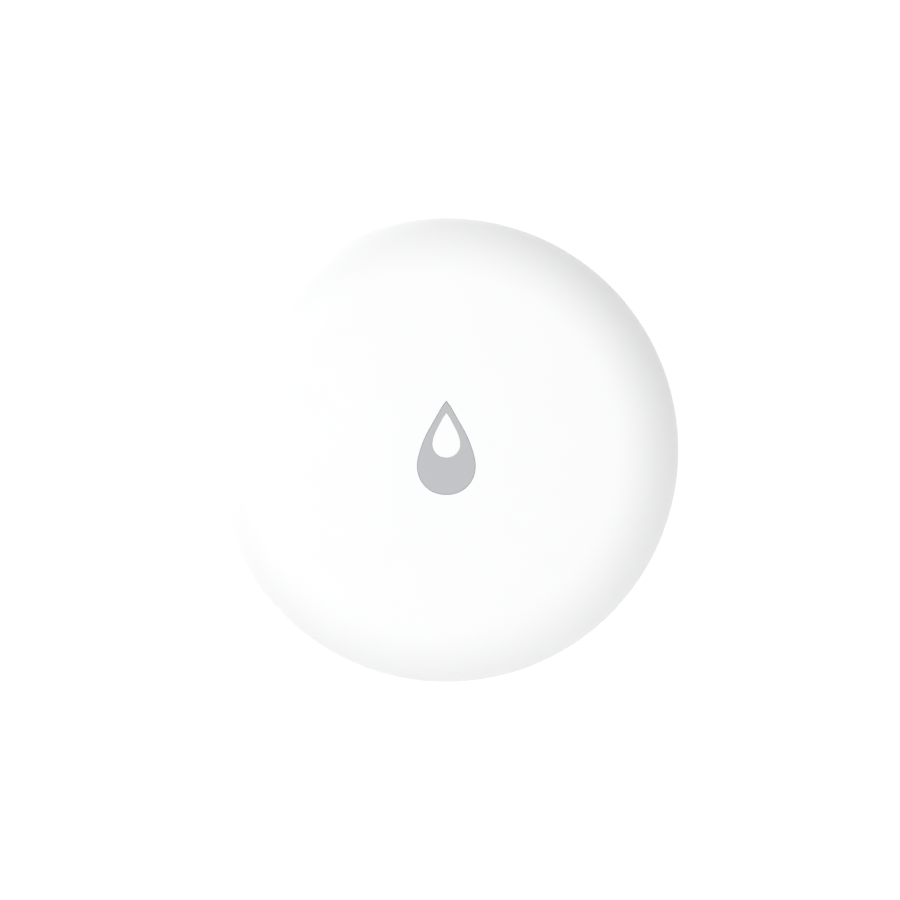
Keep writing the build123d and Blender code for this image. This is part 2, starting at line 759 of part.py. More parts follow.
def make_radio_shield():
    """Folded shield over the radio chip, open underneath."""
    outer = extrude(RectangleRounded(shield_size, shield_size, shield_corner), shield_height)
    inner_size = shield_size - 2 * shield_wall
    inner = extrude(RectangleRounded(inner_size, inner_size, shield_corner - shield_wall),
                    shield_height - shield_wall)
    return on_board(Pos(0, 0, board_top) * (outer - inner), shield_place_share)


def make_radio_chip():
    """Flat leadless radio chip under the shield."""
    chip = block(radio_chip_size, radio_chip_size, board_top, board_top + radio_chip_height)
    return on_board(chip, shield_place_share)


def make_antenna():
    """Meandering copper trace of the radio's antenna, on the board's free side."""
    half_width = antenna_turns * antenna_pitch
    near = -board_radius + board_screw_inset + antenna_depth
    far = near - antenna_depth
    points = []
    for step in range(antenna_turns * 2 + 1):
        x = -half_width + step * antenna_pitch
        first, second = (near, far) if step % 2 == 0 else (far, near)
        points += [(x, first), (x, second)]
    path = Polyline(*points)
    trace_face = trace(path, antenna_width)
    return Pos(0, 0, board_top) * extrude(trace_face, antenna_thickness)


def make_status_led():
    """Small light beside the switch, which shows through the drop."""
    base_top = board_top + led_base_height
    led = block(led_length, led_width, board_top, base_top)
    led += block(led_length - 2 * led_lens_inset - 2 * chip_end_length, led_width - 2 * led_lens_inset,
                 base_top, base_top + led_lens_height)
    return on_board(led, led_place_share)


def make_buffer_capacitor():
    """Block capacitor with folded end leads, which carries the radio's short bursts."""
    body = block(buffer_length, buffer_width, board_top, board_top + buffer_height)
    lead = block(buffer_length + 2 * buffer_lead_reach, buffer_lead_width, board_top,
                 board_top + buffer_lead_height)
    return on_board(body + lead, buffer_place_share)


def make_sense_chip():
    """Small leaded chip that senses the current between the probes."""
    body = block(sense_chip_length, sense_chip_width, board_top + sense_lead_thickness,
                 board_top + sense_chip_height)
    for step in (-1, 0, 1):
        lead = block(sense_lead_width, sense_chip_width + 2 * sense_lead_reach, board_top,
                     board_top + 2 * sense_lead_thickness)
        body += Pos(step * sense_lead_pitch, 0, 0) * lead
    return on_board(body, sense_place_share)


def make_crystals():
    """Two metal-lidded crystals."""
    base_top = board_top + crystal_height - crystal_lid_height
    crystal = block(crystal_length, crystal_width, board_top, base_top)
    crystal += block(crystal_length - 2 * crystal_lid_inset, crystal_width - 2 * crystal_lid_inset,
                     base_top, board_top + crystal_height)
    return [on_board(crystal, place) for place in crystal_place_shares]


def chip_part(height):
    """Small chip part with a slightly proud metal end on each side."""
    part = block(chip_part_length, chip_part_width, board_top, board_top + height)
    end = block(chip_end_length, chip_part_width + 2 * chip_end_skin, board_top,
                board_top + height + chip_end_skin)
    end_place = (chip_part_length - chip_end_length) / 2
    return part + Pos(end_place, 0, 0) * end + Pos(-end_place, 0, 0) * end


def make_capacitors():
    """Group of small chip capacitors."""
    return [on_board(Rot(0, 0, 90) * chip_part(capacitor_height), place) for place in capacitor_place_shares]


def make_resistors():
    """Group of small chip resistors."""
    return [on_board(chip_part(resistor_height), place) for place in resistor_place_shares]


nodes = {
    "top_cover": make_top_cover,
    "drop_key": make_drop_key,
    "drop_highlight": make_drop_highlight,
    "key_boot": make_key_boot,
    "boot_retainer": make_boot_retainer,
    "housing_seal": make_housing_seal,
    "base_housing": make_base_housing,
    "battery_cover": make_battery_cover,
    "battery_cover_seal": make_battery_cover_seal,
    "coin_cell_can": make_cell_can,
    "coin_cell_gasket": make_cell_gasket,
    "coin_cell_cap": make_cell_cap,
    "probe_screws": make_probe_screws,
    "probe_seals": make_probe_seals,
    "probe_standoffs": make_probe_standoffs,
    "circuit_board": make_circuit_board,
    "board_screws": make_board_screws,
    "switch_body": make_switch_body,
    "switch_frame": make_switch_frame,
    "switch_dome": make_switch_dome,
    "switch_plunger": make_switch_plunger,
    "positive_contact": make_positive_contact,
    "negative_contact": make_negative_contact,
    "radio_shield": make_radio_shield,
    "radio_chip": make_radio_chip,
    "antenna_trace": make_antenna,
    "status_led": make_status_led,
    "buffer_capacitor": make_buffer_capacitor,
    "sense_chip": make_sense_chip,
    "crystals": make_crystals,
    "capacitors": make_capacitors,
    "resistors": make_resistors,
}

for node_name, make_node in nodes.items():
    made = make_node()
    if isinstance(made, list):
        made = Compound(children=made)
    export_step(made, f"parts/{node_name}.step")
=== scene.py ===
"""A round water leak sensor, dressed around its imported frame.

The puck lies on a pale floor with the tip of its water drop towards +Y. Lengths are in metres, written
as millimetres times MM, and every piece stands where the frame has its node.
"""

import logging
import math
from dataclasses import dataclass
from enum import Enum
from typing import Sequence

import bpy
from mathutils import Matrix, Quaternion, Vector


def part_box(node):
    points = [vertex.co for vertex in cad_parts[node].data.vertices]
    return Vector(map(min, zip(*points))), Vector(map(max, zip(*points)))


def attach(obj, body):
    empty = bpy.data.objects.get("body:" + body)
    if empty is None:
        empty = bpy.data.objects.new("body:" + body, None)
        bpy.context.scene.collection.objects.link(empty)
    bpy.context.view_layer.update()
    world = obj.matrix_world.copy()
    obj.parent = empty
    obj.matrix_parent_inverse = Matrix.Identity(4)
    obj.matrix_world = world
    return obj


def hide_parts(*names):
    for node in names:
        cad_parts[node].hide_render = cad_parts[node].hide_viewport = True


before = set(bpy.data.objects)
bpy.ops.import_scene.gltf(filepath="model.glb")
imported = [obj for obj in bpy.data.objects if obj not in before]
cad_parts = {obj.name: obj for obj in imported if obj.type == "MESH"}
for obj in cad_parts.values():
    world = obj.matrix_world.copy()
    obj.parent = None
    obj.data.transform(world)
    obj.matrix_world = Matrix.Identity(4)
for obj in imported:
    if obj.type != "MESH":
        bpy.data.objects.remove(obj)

MM = 0.001
LAPS = 192
WELD = 0.0005 * MM
OVERRUN = 0.4 * MM
CRISP_ANGLE = math.radians(35)
BEVEL_ANGLE = math.radians(40)
UP = (0, 0, 1)

Colour = tuple[float, float, float]
Point = tuple[float, float, float]
Pair = tuple[float, float]
Material = bpy.types.Material
Piece = bpy.types.Object
Socket = bpy.types.NodeSocket

log = logging.getLogger("leak_sensor")


class Body(Enum):
    """The bodies that the pieces move with."""

    HOUSING = "housing"
    KEY = "key"
    BATTERY_COVER = "battery_cover"


class Slot(Enum):
    """Names of the record's material slots; no new piece takes its finish from them here."""

    COVER = "cover_plastic"
    KEY = "key_plastic"
    HIGHLIGHT = "highlight_plastic"
    PROBE = "probe_steel"


class Ring(Enum):
    """Which way a metal's fine turning or brushing lines run."""

    ROUND_CENTRE = "round the middle of the puck"
    ROUND_PROBES = "round each probe"
    ALONG_X = "along X"


def pick(*pieces: Piece) -> None:
    """Selects pieces alone and makes the first one active.

    Args:
        pieces: The pieces, or none to deselect everything.
    """
    bpy.ops.object.select_all(action="DESELECT")
    for piece in pieces:
        piece.select_set(True)
    bpy.context.view_layer.objects.active = pieces[0] if pieces else None


def settled(piece: Piece) -> Piece:
    """A piece with its place put into its mesh.

    Args:
        piece: The piece.

    Returns:
        The same piece.
    """
    pick(piece)
    bpy.ops.object.transform_apply(location=True, rotation=True, scale=True)
    return piece


def turned(piece: Piece, degrees: float) -> Piece:
    """A piece turned about the Z axis, with its place in its mesh."""
    piece.rotation_euler.z = math.radians(degrees)
    return settled(piece)


def weld(distance: float = WELD) -> None:
    """Selects the whole piece that is being edited and merges its doubled points."""
    bpy.ops.mesh.select_all(action="SELECT")
    bpy.ops.mesh.remove_doubles(threshold=distance)


def close_skin() -> None:
    """Turns the edited piece's faces outwards, leaves edit mode and shades the piece smooth."""
    bpy.ops.mesh.select_all(action="SELECT")
    bpy.ops.mesh.normals_make_consistent(inside=False)
    bpy.ops.object.mode_set(mode="OBJECT")
    bpy.ops.object.shade_smooth_by_angle(angle=CRISP_ANGLE)


def new_node(tree: bpy.types.NodeTree, kind: str, values: dict[str | int, object] | None = None,
             **settings: str) -> bpy.types.NodeOutputs:
    """A new shader node.

    Args:
        tree: The tree that it is put into.
        kind: Its kind, without the words that every shader node's kind starts with.
        values: The numbers, colours and sockets for its inputs.
        settings: Its settings, such as the operation.

    Returns:
        The node's outputs.
    """
    made = tree.nodes.new("ShaderNode" + kind)
    for name, setting in settings.items():
        setattr(made, name, setting)
    for name, value in (values or {}).items():
        if isinstance(value, Socket):
            tree.links.new(value, made.inputs[name])
        else:
            made.inputs[name].default_value = value
    return made.outputs


def sum_of(tree: bpy.types.NodeTree, kind: str, *values: Socket | float) -> Socket:
    """One sum on sockets or numbers in a node tree."""
    return new_node(tree, "Math", dict(enumerate(values)), operation=kind)["Value"]


def looked_at(tree: bpy.types.NodeTree) -> Socket:
    """Whether a ray is one that looks, straight, in gloss or through glass, or only brings light.

    Args:
        tree: The tree.

    Returns:
        1 for a ray that looks, and 0 for another one.
    """
    rays = new_node(tree, "LightPath")
    seen = sum_of(tree, "MAXIMUM", rays["Is Camera Ray"], rays["Is Glossy Ray"])
    return sum_of(tree, "MAXIMUM", seen, rays["Is Transmission Ray"])


def polar(radius: float, degrees: float) -> Pair:
    """A point's two coordinates from its radius and its angle."""
    return radius * math.cos(math.radians(degrees)), radius * math.sin(math.radians(degrees))


class Graph:
    """The node tree of one finish, with short calls for what the finishes share."""

    def __init__(self, name: str) -> None:
        """Starts an empty tree with an output, a shader and the object's own coordinates.

        Args:
            name: Name of the material.
        """
        self.material = bpy.data.materials.new(name)
        self.material.use_nodes = True
        self.tree = self.material.node_tree
        self.tree.nodes.clear()
        self.shader = self.tree.nodes.new("ShaderNodeBsdfPrincipled")
        self.output = self.tree.nodes.new("ShaderNodeOutputMaterial")
        self.link(self.shader.outputs["BSDF"], self.output.inputs["Surface"])
        self.place = self.node("TexCoord")["Object"]

    def link(self, start: Socket, end: Socket) -> None:
        """Joins two sockets."""
        self.tree.links.new(start, end)

    def set(self, **values: float | Sequence[float]) -> None:
        """Sets constants on the shader's own sockets, named with underscores for spaces."""
        for name, value in values.items():
            self.shader.inputs[name.replace("_", " ").title().replace("Ior", "IOR")].default_value = value

    def node(self, kind: str, values: dict[str | int, object] | None = None,
             **settings: str) -> bpy.types.NodeOutputs:
        """A new node in this tree, with its inputs and settings."""
        return new_node(self.tree, kind, values, **settings)

    def stretched(self, *shares: float) -> Socket:
        """The object's coordinates, each multiplied by a number."""
        return self.node("Mapping", {"Scale": shares, "Vector": self.place})["Vector"]

    def noise(self, size: float, detail: float = 2.0, at: Socket | None = None) -> Socket:
        """Cloudy noise from 0 to 1, with features of a real size.

        Args:
            size: Size of one feature, in metres.
            detail: How many finer layers it has.
            at: Coordinates to read, or the object's own.

        Returns:
            The noise's value.
        """
        values = {"Scale": 1 / size, "Detail": detail, "Vector": at or self.place}
        return self.node("TexNoise", values)["Fac"]

    def cells(self, size: float) -> Socket:
        """Distance to the nearest point of a cell pattern with cells of a real size."""
        return self.node("TexVoronoi", {"Scale": 1 / size, "Vector": self.place})["Distance"]

    def math(self, kind: str, *values: Socket | float) -> Socket:
        """One sum on sockets or numbers."""
        return sum_of(self.tree, kind, *values)

    def spread(self, value: Socket, low: float, high: float, start: float = 0.3, end: float = 0.7) -> Socket:
        """A value carried over to another range.

        Args:
            value: The value, such as noise, which lies between 0.3 and 0.7 nearly everywhere.
            low: Result at the range's start.
            high: Result at its end.
            start: Where the value's range starts.
            end: Where it ends.

        Returns:
            The new value.
        """
        return self.node("MapRange", {"Value": value, "From Min": start, "From Max": end,
                                      "To Min": low, "To Max": high})["Result"]

    def swung(self, value: Socket, middle: float, swing: Pair) -> Socket:
        """Noise carried over to a range about a number."""
        return self.spread(value, middle + swing[0], middle + swing[1])

    def blend(self, share: Socket, first: Colour | Socket, second: Colour | Socket) -> Socket:
        """Two colours blended by a share.

        Args:
            share: 0 gives the first colour and 1 the second.
            first: First colour.
            second: Second colour.

        Returns:
            The blended colour.
        """
        ends = [value if isinstance(value, Socket) else (*value, 1) for value in (first, second)]
        return self.node("Mix", {"Factor": share, 6: ends[0], 7: ends[1]}, data_type="RGBA")[2]

    def bump(self, height: Socket, depth: float, under: Socket | None = None) -> Socket:
        """A surface relief of a real depth.

        Args:
            height: The relief, from 0 to 1.
            depth: Its depth in metres.
            under: A coarser relief that it lies on.

        Returns:
            The normal socket.
        """
        values = {"Strength": 1.0, "Distance": depth, "Height": height}
        if under:
            values["Normal"] = under
        return self.node("Bump", values)["Normal"]

    def finish(self, colour: Socket, roughness: Socket, normal: Socket) -> Material:
        """Joins the three main sockets and gives the material.

        Args:
            colour: Base colour.
            roughness: Roughness.
            normal: Normal.

        Returns:
            The finished material.
        """
        self.link(colour, self.shader.inputs["Base Color"])
        self.link(roughness, self.shader.inputs["Roughness"])
        self.link(normal, self.shader.inputs["Normal"])
        return self.material


class Pen:
    """Draws an outline in edit mode with operators, as by hand, and turns it into a shape.

    Its points are pairs: radius and height on an upright section, or X and Y at one level.
    """

    def __init__(self, start: Pair, level: float | None = None) -> None:
        """Starts a piece from a small plane that is merged to one vertex at the start.

        Args:
            start: Where the outline starts.
            level: Height of a level outline; an upright section has none.
        """
        self.level = level
        self.at = self.spot(start)
        pick()
        bpy.ops.mesh.primitive_plane_add(size=MM, location=self.at)
        self.piece = settled(bpy.context.object)
        bpy.ops.object.mode_set(mode="EDIT")
        bpy.ops.mesh.select_mode(type="VERT")
        bpy.ops.mesh.select_all(action="SELECT")
        bpy.ops.mesh.merge(type="CENTER")

    def spot(self, pair: Pair) -> Vector:
        """A pair as a point in space."""
        return Vector((pair[0], 0, pair[1]) if self.level is None else (*pair, self.level))

    def line(self, *points: Pair) -> "Pen":
        """Extrudes straight edges to points, one after the other.

        Args:
            points: The points.

        Returns:
            The pen.
        """
        for point in map(self.spot, points):
            bpy.ops.mesh.extrude_region_move(TRANSFORM_OT_translate={"value": point - self.at})
            self.at = point
        return self

    def arc(self, centre: Pair, degrees: float, steps: int) -> "Pen":
        """Spins an arc about a centre.

        Args:
            centre: Centre of the arc.
            degrees: How far it turns, counter-clockwise as drawn.
            steps: How many edges it has.

        Returns:
            The pen.
        """
        middle = self.spot(centre)
        facing = (0, -1, 0) if self.level is None else UP
        bpy.ops.mesh.spin(steps=steps, angle=-math.radians(degrees), center=middle, axis=facing)
        self.at = middle + Quaternion(facing, math.radians(degrees)) @ (self.at - middle)
        return self

    def lathe(self, steps: int = LAPS, at: Pair = (0, 0)) -> Piece:
        """Spins the outline once about the Z axis and closes its poles and its seam.

        Args:
            steps: Number of steps round.
            at: Where the piece is then moved.

        Returns:
            The closed piece.
        """
        bpy.ops.mesh.select_all(action="SELECT")
        bpy.ops.mesh.spin(steps=steps, angle=-math.tau, center=(0, 0, 0), axis=UP)
        weld()
        close_skin()
        self.piece.location = (*at, 0)
        return settled(self.piece)

    def sweep(self, steps: int, degrees: float) -> Piece:
        """Fills the outline with a face and spins that part of the way about the Z axis.

        Args:
            steps: Number of steps.
            degrees: How far it turns.

        Returns:
            The closed piece.
        """
        weld()
        bpy.ops.mesh.edge_face_add()
        bpy.ops.mesh.select_all(action="SELECT")
        bpy.ops.mesh.spin(steps=steps, angle=-math.radians(degrees), center=(0, 0, 0), axis=UP)
        close_skin()
        return self.piece


def apply_modifiers(piece: Piece) -> None:
    """Applies every modifier of a piece, in order.

    Args:
        piece: The piece.
    """
    pick(piece)
    for modifier in list(piece.modifiers):
        bpy.ops.object.modifier_apply(modifier=modifier.name)


def joined(*pieces: Piece) -> Piece:
    """Several pieces as one.

    Args:
        pieces: The pieces, the first of which stays.

    Returns:
        The first piece.
    """
    pick(*pieces)
    bpy.ops.object.join()
    return pieces[0]


def copied(piece: Piece, degrees: float = 0.0) -> Piece:
    """A copy of a piece with its own mesh, turned about the Z axis.

    Args:
        piece: The piece to copy.
        degrees: How far the copy is turned.

    Returns:
        The copy.
    """
    pick(piece)
    bpy.ops.object.duplicate()
    return turned(bpy.context.object, degrees)


def repeated(piece: Piece, count: int, first: float = 0.0) -> Piece:
    """Copies of a piece, evenly spaced about the Z axis, as one object in the piece's stead.

    Args:
        piece: The piece.
        count: How many there are.
        first: How far the first one is turned, in degrees.

    Returns:
        The copies.
    """
    copies = [copied(piece, first + 360 * step / count) for step in range(count)]
    bpy.data.objects.remove(piece)
    return joined(*copies)


def cut(piece: Piece, cutter: Piece, kind: str = "DIFFERENCE") -> None:
    """Cuts a piece with another, or joins the two into one skin, and removes the other.

    Args:
        piece: The piece that stays.
        cutter: The piece that it is cut with.
        kind: The boolean operation.
    """
    modifier = piece.modifiers.new("cut", "BOOLEAN")
    modifier.operation = kind
    modifier.solver = "EXACT"
    modifier.object = cutter
    apply_modifiers(piece)
    bpy.data.objects.remove(cutter)


def rounded(piece: Piece, radius: float, sections: int = 3) -> Piece:
    """A piece with its sharp edges rounded by an applied bevel.

    Args:
        piece: The piece.
        radius: Radius of the edges, or 0 to leave them sharp.
        sections: Number of faces across each edge.

    Returns:
        The same piece.
    """
    if radius:
        bevel = piece.modifiers.new("round edges", "BEVEL")
        bevel.width = radius
        bevel.segments = sections
        bevel.limit_method = "ANGLE"
        bevel.angle_limit = BEVEL_ANGLE
        apply_modifiers(piece)
    return piece


def block(low: Point, high: Point, edge: float = 0.0) -> Piece:
    """A box between two corners, to be joined on or cut with.

    Args:
        low: Its lowest corner.
        high: Its highest corner.
        edge: Radius of its edges.

    Returns:
        The box, with its place in its mesh.
    """
    pick()
    middle = (Vector(low) + Vector(high)) / 2
    bpy.ops.mesh.primitive_cube_add(size=1, location=middle, scale=Vector(high) - Vector(low))
    return rounded(settled(bpy.context.object), edge)


def sector(low: Pair, high: Pair, degrees: float, middle: float = 0.0, edge: float = 0.0,
           sections: int = 3, laps: int = LAPS) -> Piece:
    """Part of a round wall.

    Args:
        low: Its inner radius and its lower height.
        high: Its outer radius and its upper height.
        degrees: How far it reaches round.
        middle: Angle of its middle.
        edge: Radius of its edges.
        sections: Number of faces across each edge.
        laps: Number of steps that a whole turn has.

    Returns:
        The closed wall.
    """
    section = Pen(low).line((high[0], low[1]), high, (low[0], high[1]), low)
    wall = section.sweep(round(degrees / 360 * laps), degrees)
    return rounded(turned(wall, middle - degrees / 2), edge, sections)


def bridged(loops: Sequence[Piece], rings: dict[int, int] | None = None) -> Piece:
    """Bridges a row of loops into one open skin.

    Args:
        loops: The loops, in order.
        rings: How many extra rings follow a loop, by the loop's place in the row.

    Returns:
        The skin, out of edit mode.
    """
    strips = []
    for index, (first, second) in enumerate(zip(loops, loops[1:])):
        strips.append(joined(copied(first), copied(second)))
        bpy.ops.object.mode_set(mode="EDIT")
        bpy.ops.mesh.select_mode(type="EDGE")
        bpy.ops.mesh.select_all(action="SELECT")
        bpy.ops.mesh.bridge_edge_loops(number_cuts=(rings or {}).get(index, 0), interpolation="LINEAR")
        bpy.ops.object.mode_set(mode="OBJECT")
    for loop in loops:
        bpy.data.objects.remove(loop)
    return joined(*strips)


def capped(piece: Piece) -> Piece:
    """Fills a skin's open rims with faces, and turns the closed shape outwards.

    Args:
        piece: A skin that is open at one or two flat rims.

    Returns:
        The same piece, closed.
    """
    pick(piece)
    bpy.ops.object.mode_set(mode="EDIT")
    weld()
    bpy.ops.mesh.select_all(action="DESELECT")
    bpy.ops.mesh.select_mode(type="EDGE")
    bpy.ops.mesh.select_non_manifold(extend=False, use_wire=False, use_multi_face=False,
                                     use_non_contiguous=False, use_verts=False)
    bpy.ops.mesh.edge_face_add()
    close_skin()
    return piece


def hand_over(name: str, piece: Piece, body: Body, finish: Material, node: str) -> None:
    """Cleans and shades a piece, gives it its finish, and tells the frame where it belongs.

    Args:
        name: The piece's name.
        piece: The piece.
        body: Body that it moves with.
        finish: Its material.
        node: Node of the frame that it stands for.
    """
    piece.name = name
    pick(piece)
    bpy.ops.object.shade_smooth_by_angle(angle=CRISP_ANGLE)
    bpy.ops.object.mode_set(mode="EDIT")
    weld()
    bpy.ops.mesh.dissolve_degenerate(threshold=WELD)
    bpy.ops.object.mode_set(mode="OBJECT")
    weighting = piece.modifiers.new("normals", "WEIGHTED_NORMAL")
    weighting.keep_sharp = True
    apply_modifiers(piece)
    piece.data.materials.clear()
    piece.data.materials.append(finish)
    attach(piece, body.value)
    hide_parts(node)
    log.info("built %s with %d faces", name, len(piece.data.polygons))


def shade(colour: Colour, share: float) -> Colour:
    """A colour made lighter or darker by a share of itself."""
    return tuple(min(1.0, part * share) for part in colour)


@dataclass(frozen=True)
class MouldedPlastic:
    """Moulded plastic: a faint cloudiness in its colour and the fine satin grain of its mould."""

    name: str
    colour: Colour
    roughness: float = 0.36
    grain_size: float = 0.16 * MM
    grain_depth: float = 0.0016 * MM
    cloud_size: float = 7 * MM
    cloud_share: float = 0.985
    swing: Pair = (-0.04, 0.04)

    def material(self) -> Material:
        """Builds the node tree and gives the material."""
        graph = Graph(self.name)
        graph.set(ior=1.49)
        clouds = graph.noise(self.cloud_size, detail=3)
        colour = graph.blend(clouds, self.colour, shade(self.colour, self.cloud_share))
        grain = graph.noise(self.grain_size, detail=3)
        roughness = graph.swung(graph.noise(self.cloud_size / 3), self.roughness, self.swing)
        waves = graph.bump(clouds, self.grain_depth)
        return graph.finish(colour, roughness, graph.bump(grain, self.grain_depth, waves))


@dataclass(frozen=True)
class Silicone:
    """Soft moulded rubber: dull, slightly see-through, with a fine powdery skin."""

    name: str
    colour: Colour
    roughness: float = 0.62
    skin_size: float = 0.12 * MM
    skin_depth: float = 0.003 * MM
    glow_depth: float = 0.4 * MM
    dust_size: float = 3 * MM
    dust_share: float = 0.93
    swing: Pair = (-0.08, 0.1)

    def material(self) -> Material:
        """Builds the node tree and gives the material."""
        graph = Graph(self.name)
        graph.set(ior=1.41, subsurface_weight=0.15, subsurface_scale=self.glow_depth)
        dust = graph.noise(self.dust_size, detail=4)
        colour = graph.blend(dust, self.colour, shade(self.colour, self.dust_share))
        skin = graph.noise(self.skin_size, detail=4)
        roughness = graph.swung(dust, self.roughness, self.swing)
        return graph.finish(colour, roughness, graph.bump(skin, self.skin_depth))


@dataclass(frozen=True)
class Metal:
    """Bare or plated metal with fine lines left by turning, rolling or brushing."""

    name: str
    colour: Colour
    roughness: float = 0.28
    lines: Ring = Ring.ALONG_X
    line_size: float = 0.05 * MM
    line_depth: float = 0.0012 * MM
    line_share: float = 0.04
    stain_size: float = 2.5 * MM
    stain_share: float = 0.92
    swing: Pair = (-0.07, 0.09)

    def line_place(self, graph: Graph) -> Socket:
        """Coordinates in which the lines run straight.

        Args:
            graph: The finish's tree.

        Returns:
            The coordinates, drawn out along the lines.
        """
        if self.lines is Ring.ALONG_X:
            return graph.stretched(self.line_share, 1, 1)
        place = graph.node("SeparateXYZ", {"Vector": graph.place})
        across = place["X"]
        if self.lines is Ring.ROUND_PROBES:
            low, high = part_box("probe_screws")
            across = graph.math("SUBTRACT", graph.math("ABSOLUTE", across), high.x - (high.y - low.y) / 2)
        squares = graph.math("ADD", graph.math("POWER", across, 2.0), graph.math("POWER", place["Y"], 2.0))
        return graph.node("CombineXYZ", {"X": graph.math("SQRT", squares), "Z": place["Z"]})["Vector"]

    def material(self) -> Material:
        """Builds the node tree and gives the material."""
        graph = Graph(self.name)
        graph.set(metallic=1.0)
        stain = graph.noise(self.stain_size, detail=4)
        lines = graph.noise(self.line_size, at=self.line_place(graph))
        colour = graph.blend(stain, self.colour, shade(self.colour, self.stain_share))
        roughness = graph.swung(lines, self.roughness, self.swing)
        return graph.finish(colour, roughness, graph.bump(lines, self.line_depth))


@dataclass(frozen=True)
class Laminate:
    """Circuit board: green mask over faint copper runs, and a yellowish core at its edge."""

    name: str
    mask: Colour = (0.012, 0.115, 0.045)
    run: Colour = (0.03, 0.19, 0.075)
    core: Colour = (0.42, 0.38, 0.17)
    core_share: float = 0.8
    roughness: float = 0.35
    swing: Pair = (-0.07, 0.07)
    grid: float = 2.2 * MM
    run_share: float = 0.035
    run_blur: float = 0.2
    run_patch: float = 6 * MM
    run_level: float = 0.52
    pad_grid: float = 2.4 * MM
    pad_level: float = 0.13
    relief: float = 0.02 * MM
    skin: float = 0.03 * MM
    weave_size: float = 0.3 * MM
    weave_share: float = 6.0
    cloud_size: float = 4 * MM

    def material(self) -> Material:
        """Builds the node tree and gives the material."""
        graph = Graph(self.name)
        graph.set(ior=1.5, coat_weight=0.35, coat_roughness=0.16)
        grid = graph.node("TexBrick", {"Scale": 1 / self.grid, "Mortar Size": self.run_share,
                                       "Mortar Smooth": self.run_blur, "Vector": graph.place})
        runs = graph.math("GREATER_THAN", graph.noise(self.run_patch, detail=0), self.run_level)
        tracks = graph.math("MULTIPLY", grid["Fac"], runs)
        pads = graph.math("LESS_THAN", graph.cells(self.pad_grid), self.pad_level)
        copper = graph.math("MAXIMUM", tracks, pads)
        surface = graph.blend(copper, self.mask, self.run)
        low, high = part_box("circuit_board")
        height = graph.node("SeparateXYZ", {"Vector": graph.place})["Z"]
        off_middle = graph.math("ABSOLUTE", graph.math("SUBTRACT", height, (low.z + high.z) / 2))
        inside = graph.math("LESS_THAN", off_middle, (high.z - low.z) / 2 - self.skin)
        weave = graph.noise(self.weave_size, at=graph.stretched(1, 1, self.weave_share))
        core = graph.blend(weave, self.core, shade(self.core, self.core_share))
        roughness = graph.swung(graph.noise(self.cloud_size), self.roughness, self.swing)
        return graph.finish(graph.blend(inside, surface, core), roughness, graph.bump(copper, self.relief))


@dataclass(frozen=True)
class Compound:
    """Chip and block part casing: dull, grainy moulding compound."""

    name: str
    colour: Colour
    roughness: float = 0.55
    grain_size: float = 0.09 * MM
    grain_depth: float = 0.004 * MM
    fleck_share: float = 1.5
    flecks: Pair = (0.45, 0.75)
    wear_size: float = 1.5 * MM
    swing: Pair = (-0.08, 0.08)

    def material(self) -> Material:
        """Builds the node tree and gives the material."""
        graph = Graph(self.name)
        graph.set(ior=1.55)
        flecks = graph.spread(graph.noise(self.grain_size, detail=5), 0.0, 1.0, *self.flecks)
        colour = graph.blend(flecks, self.colour, shade(self.colour, self.fleck_share))
        roughness = graph.swung(graph.noise(self.wear_size), self.roughness, self.swing)
        return graph.finish(colour, roughness, graph.bump(flecks, self.grain_depth))


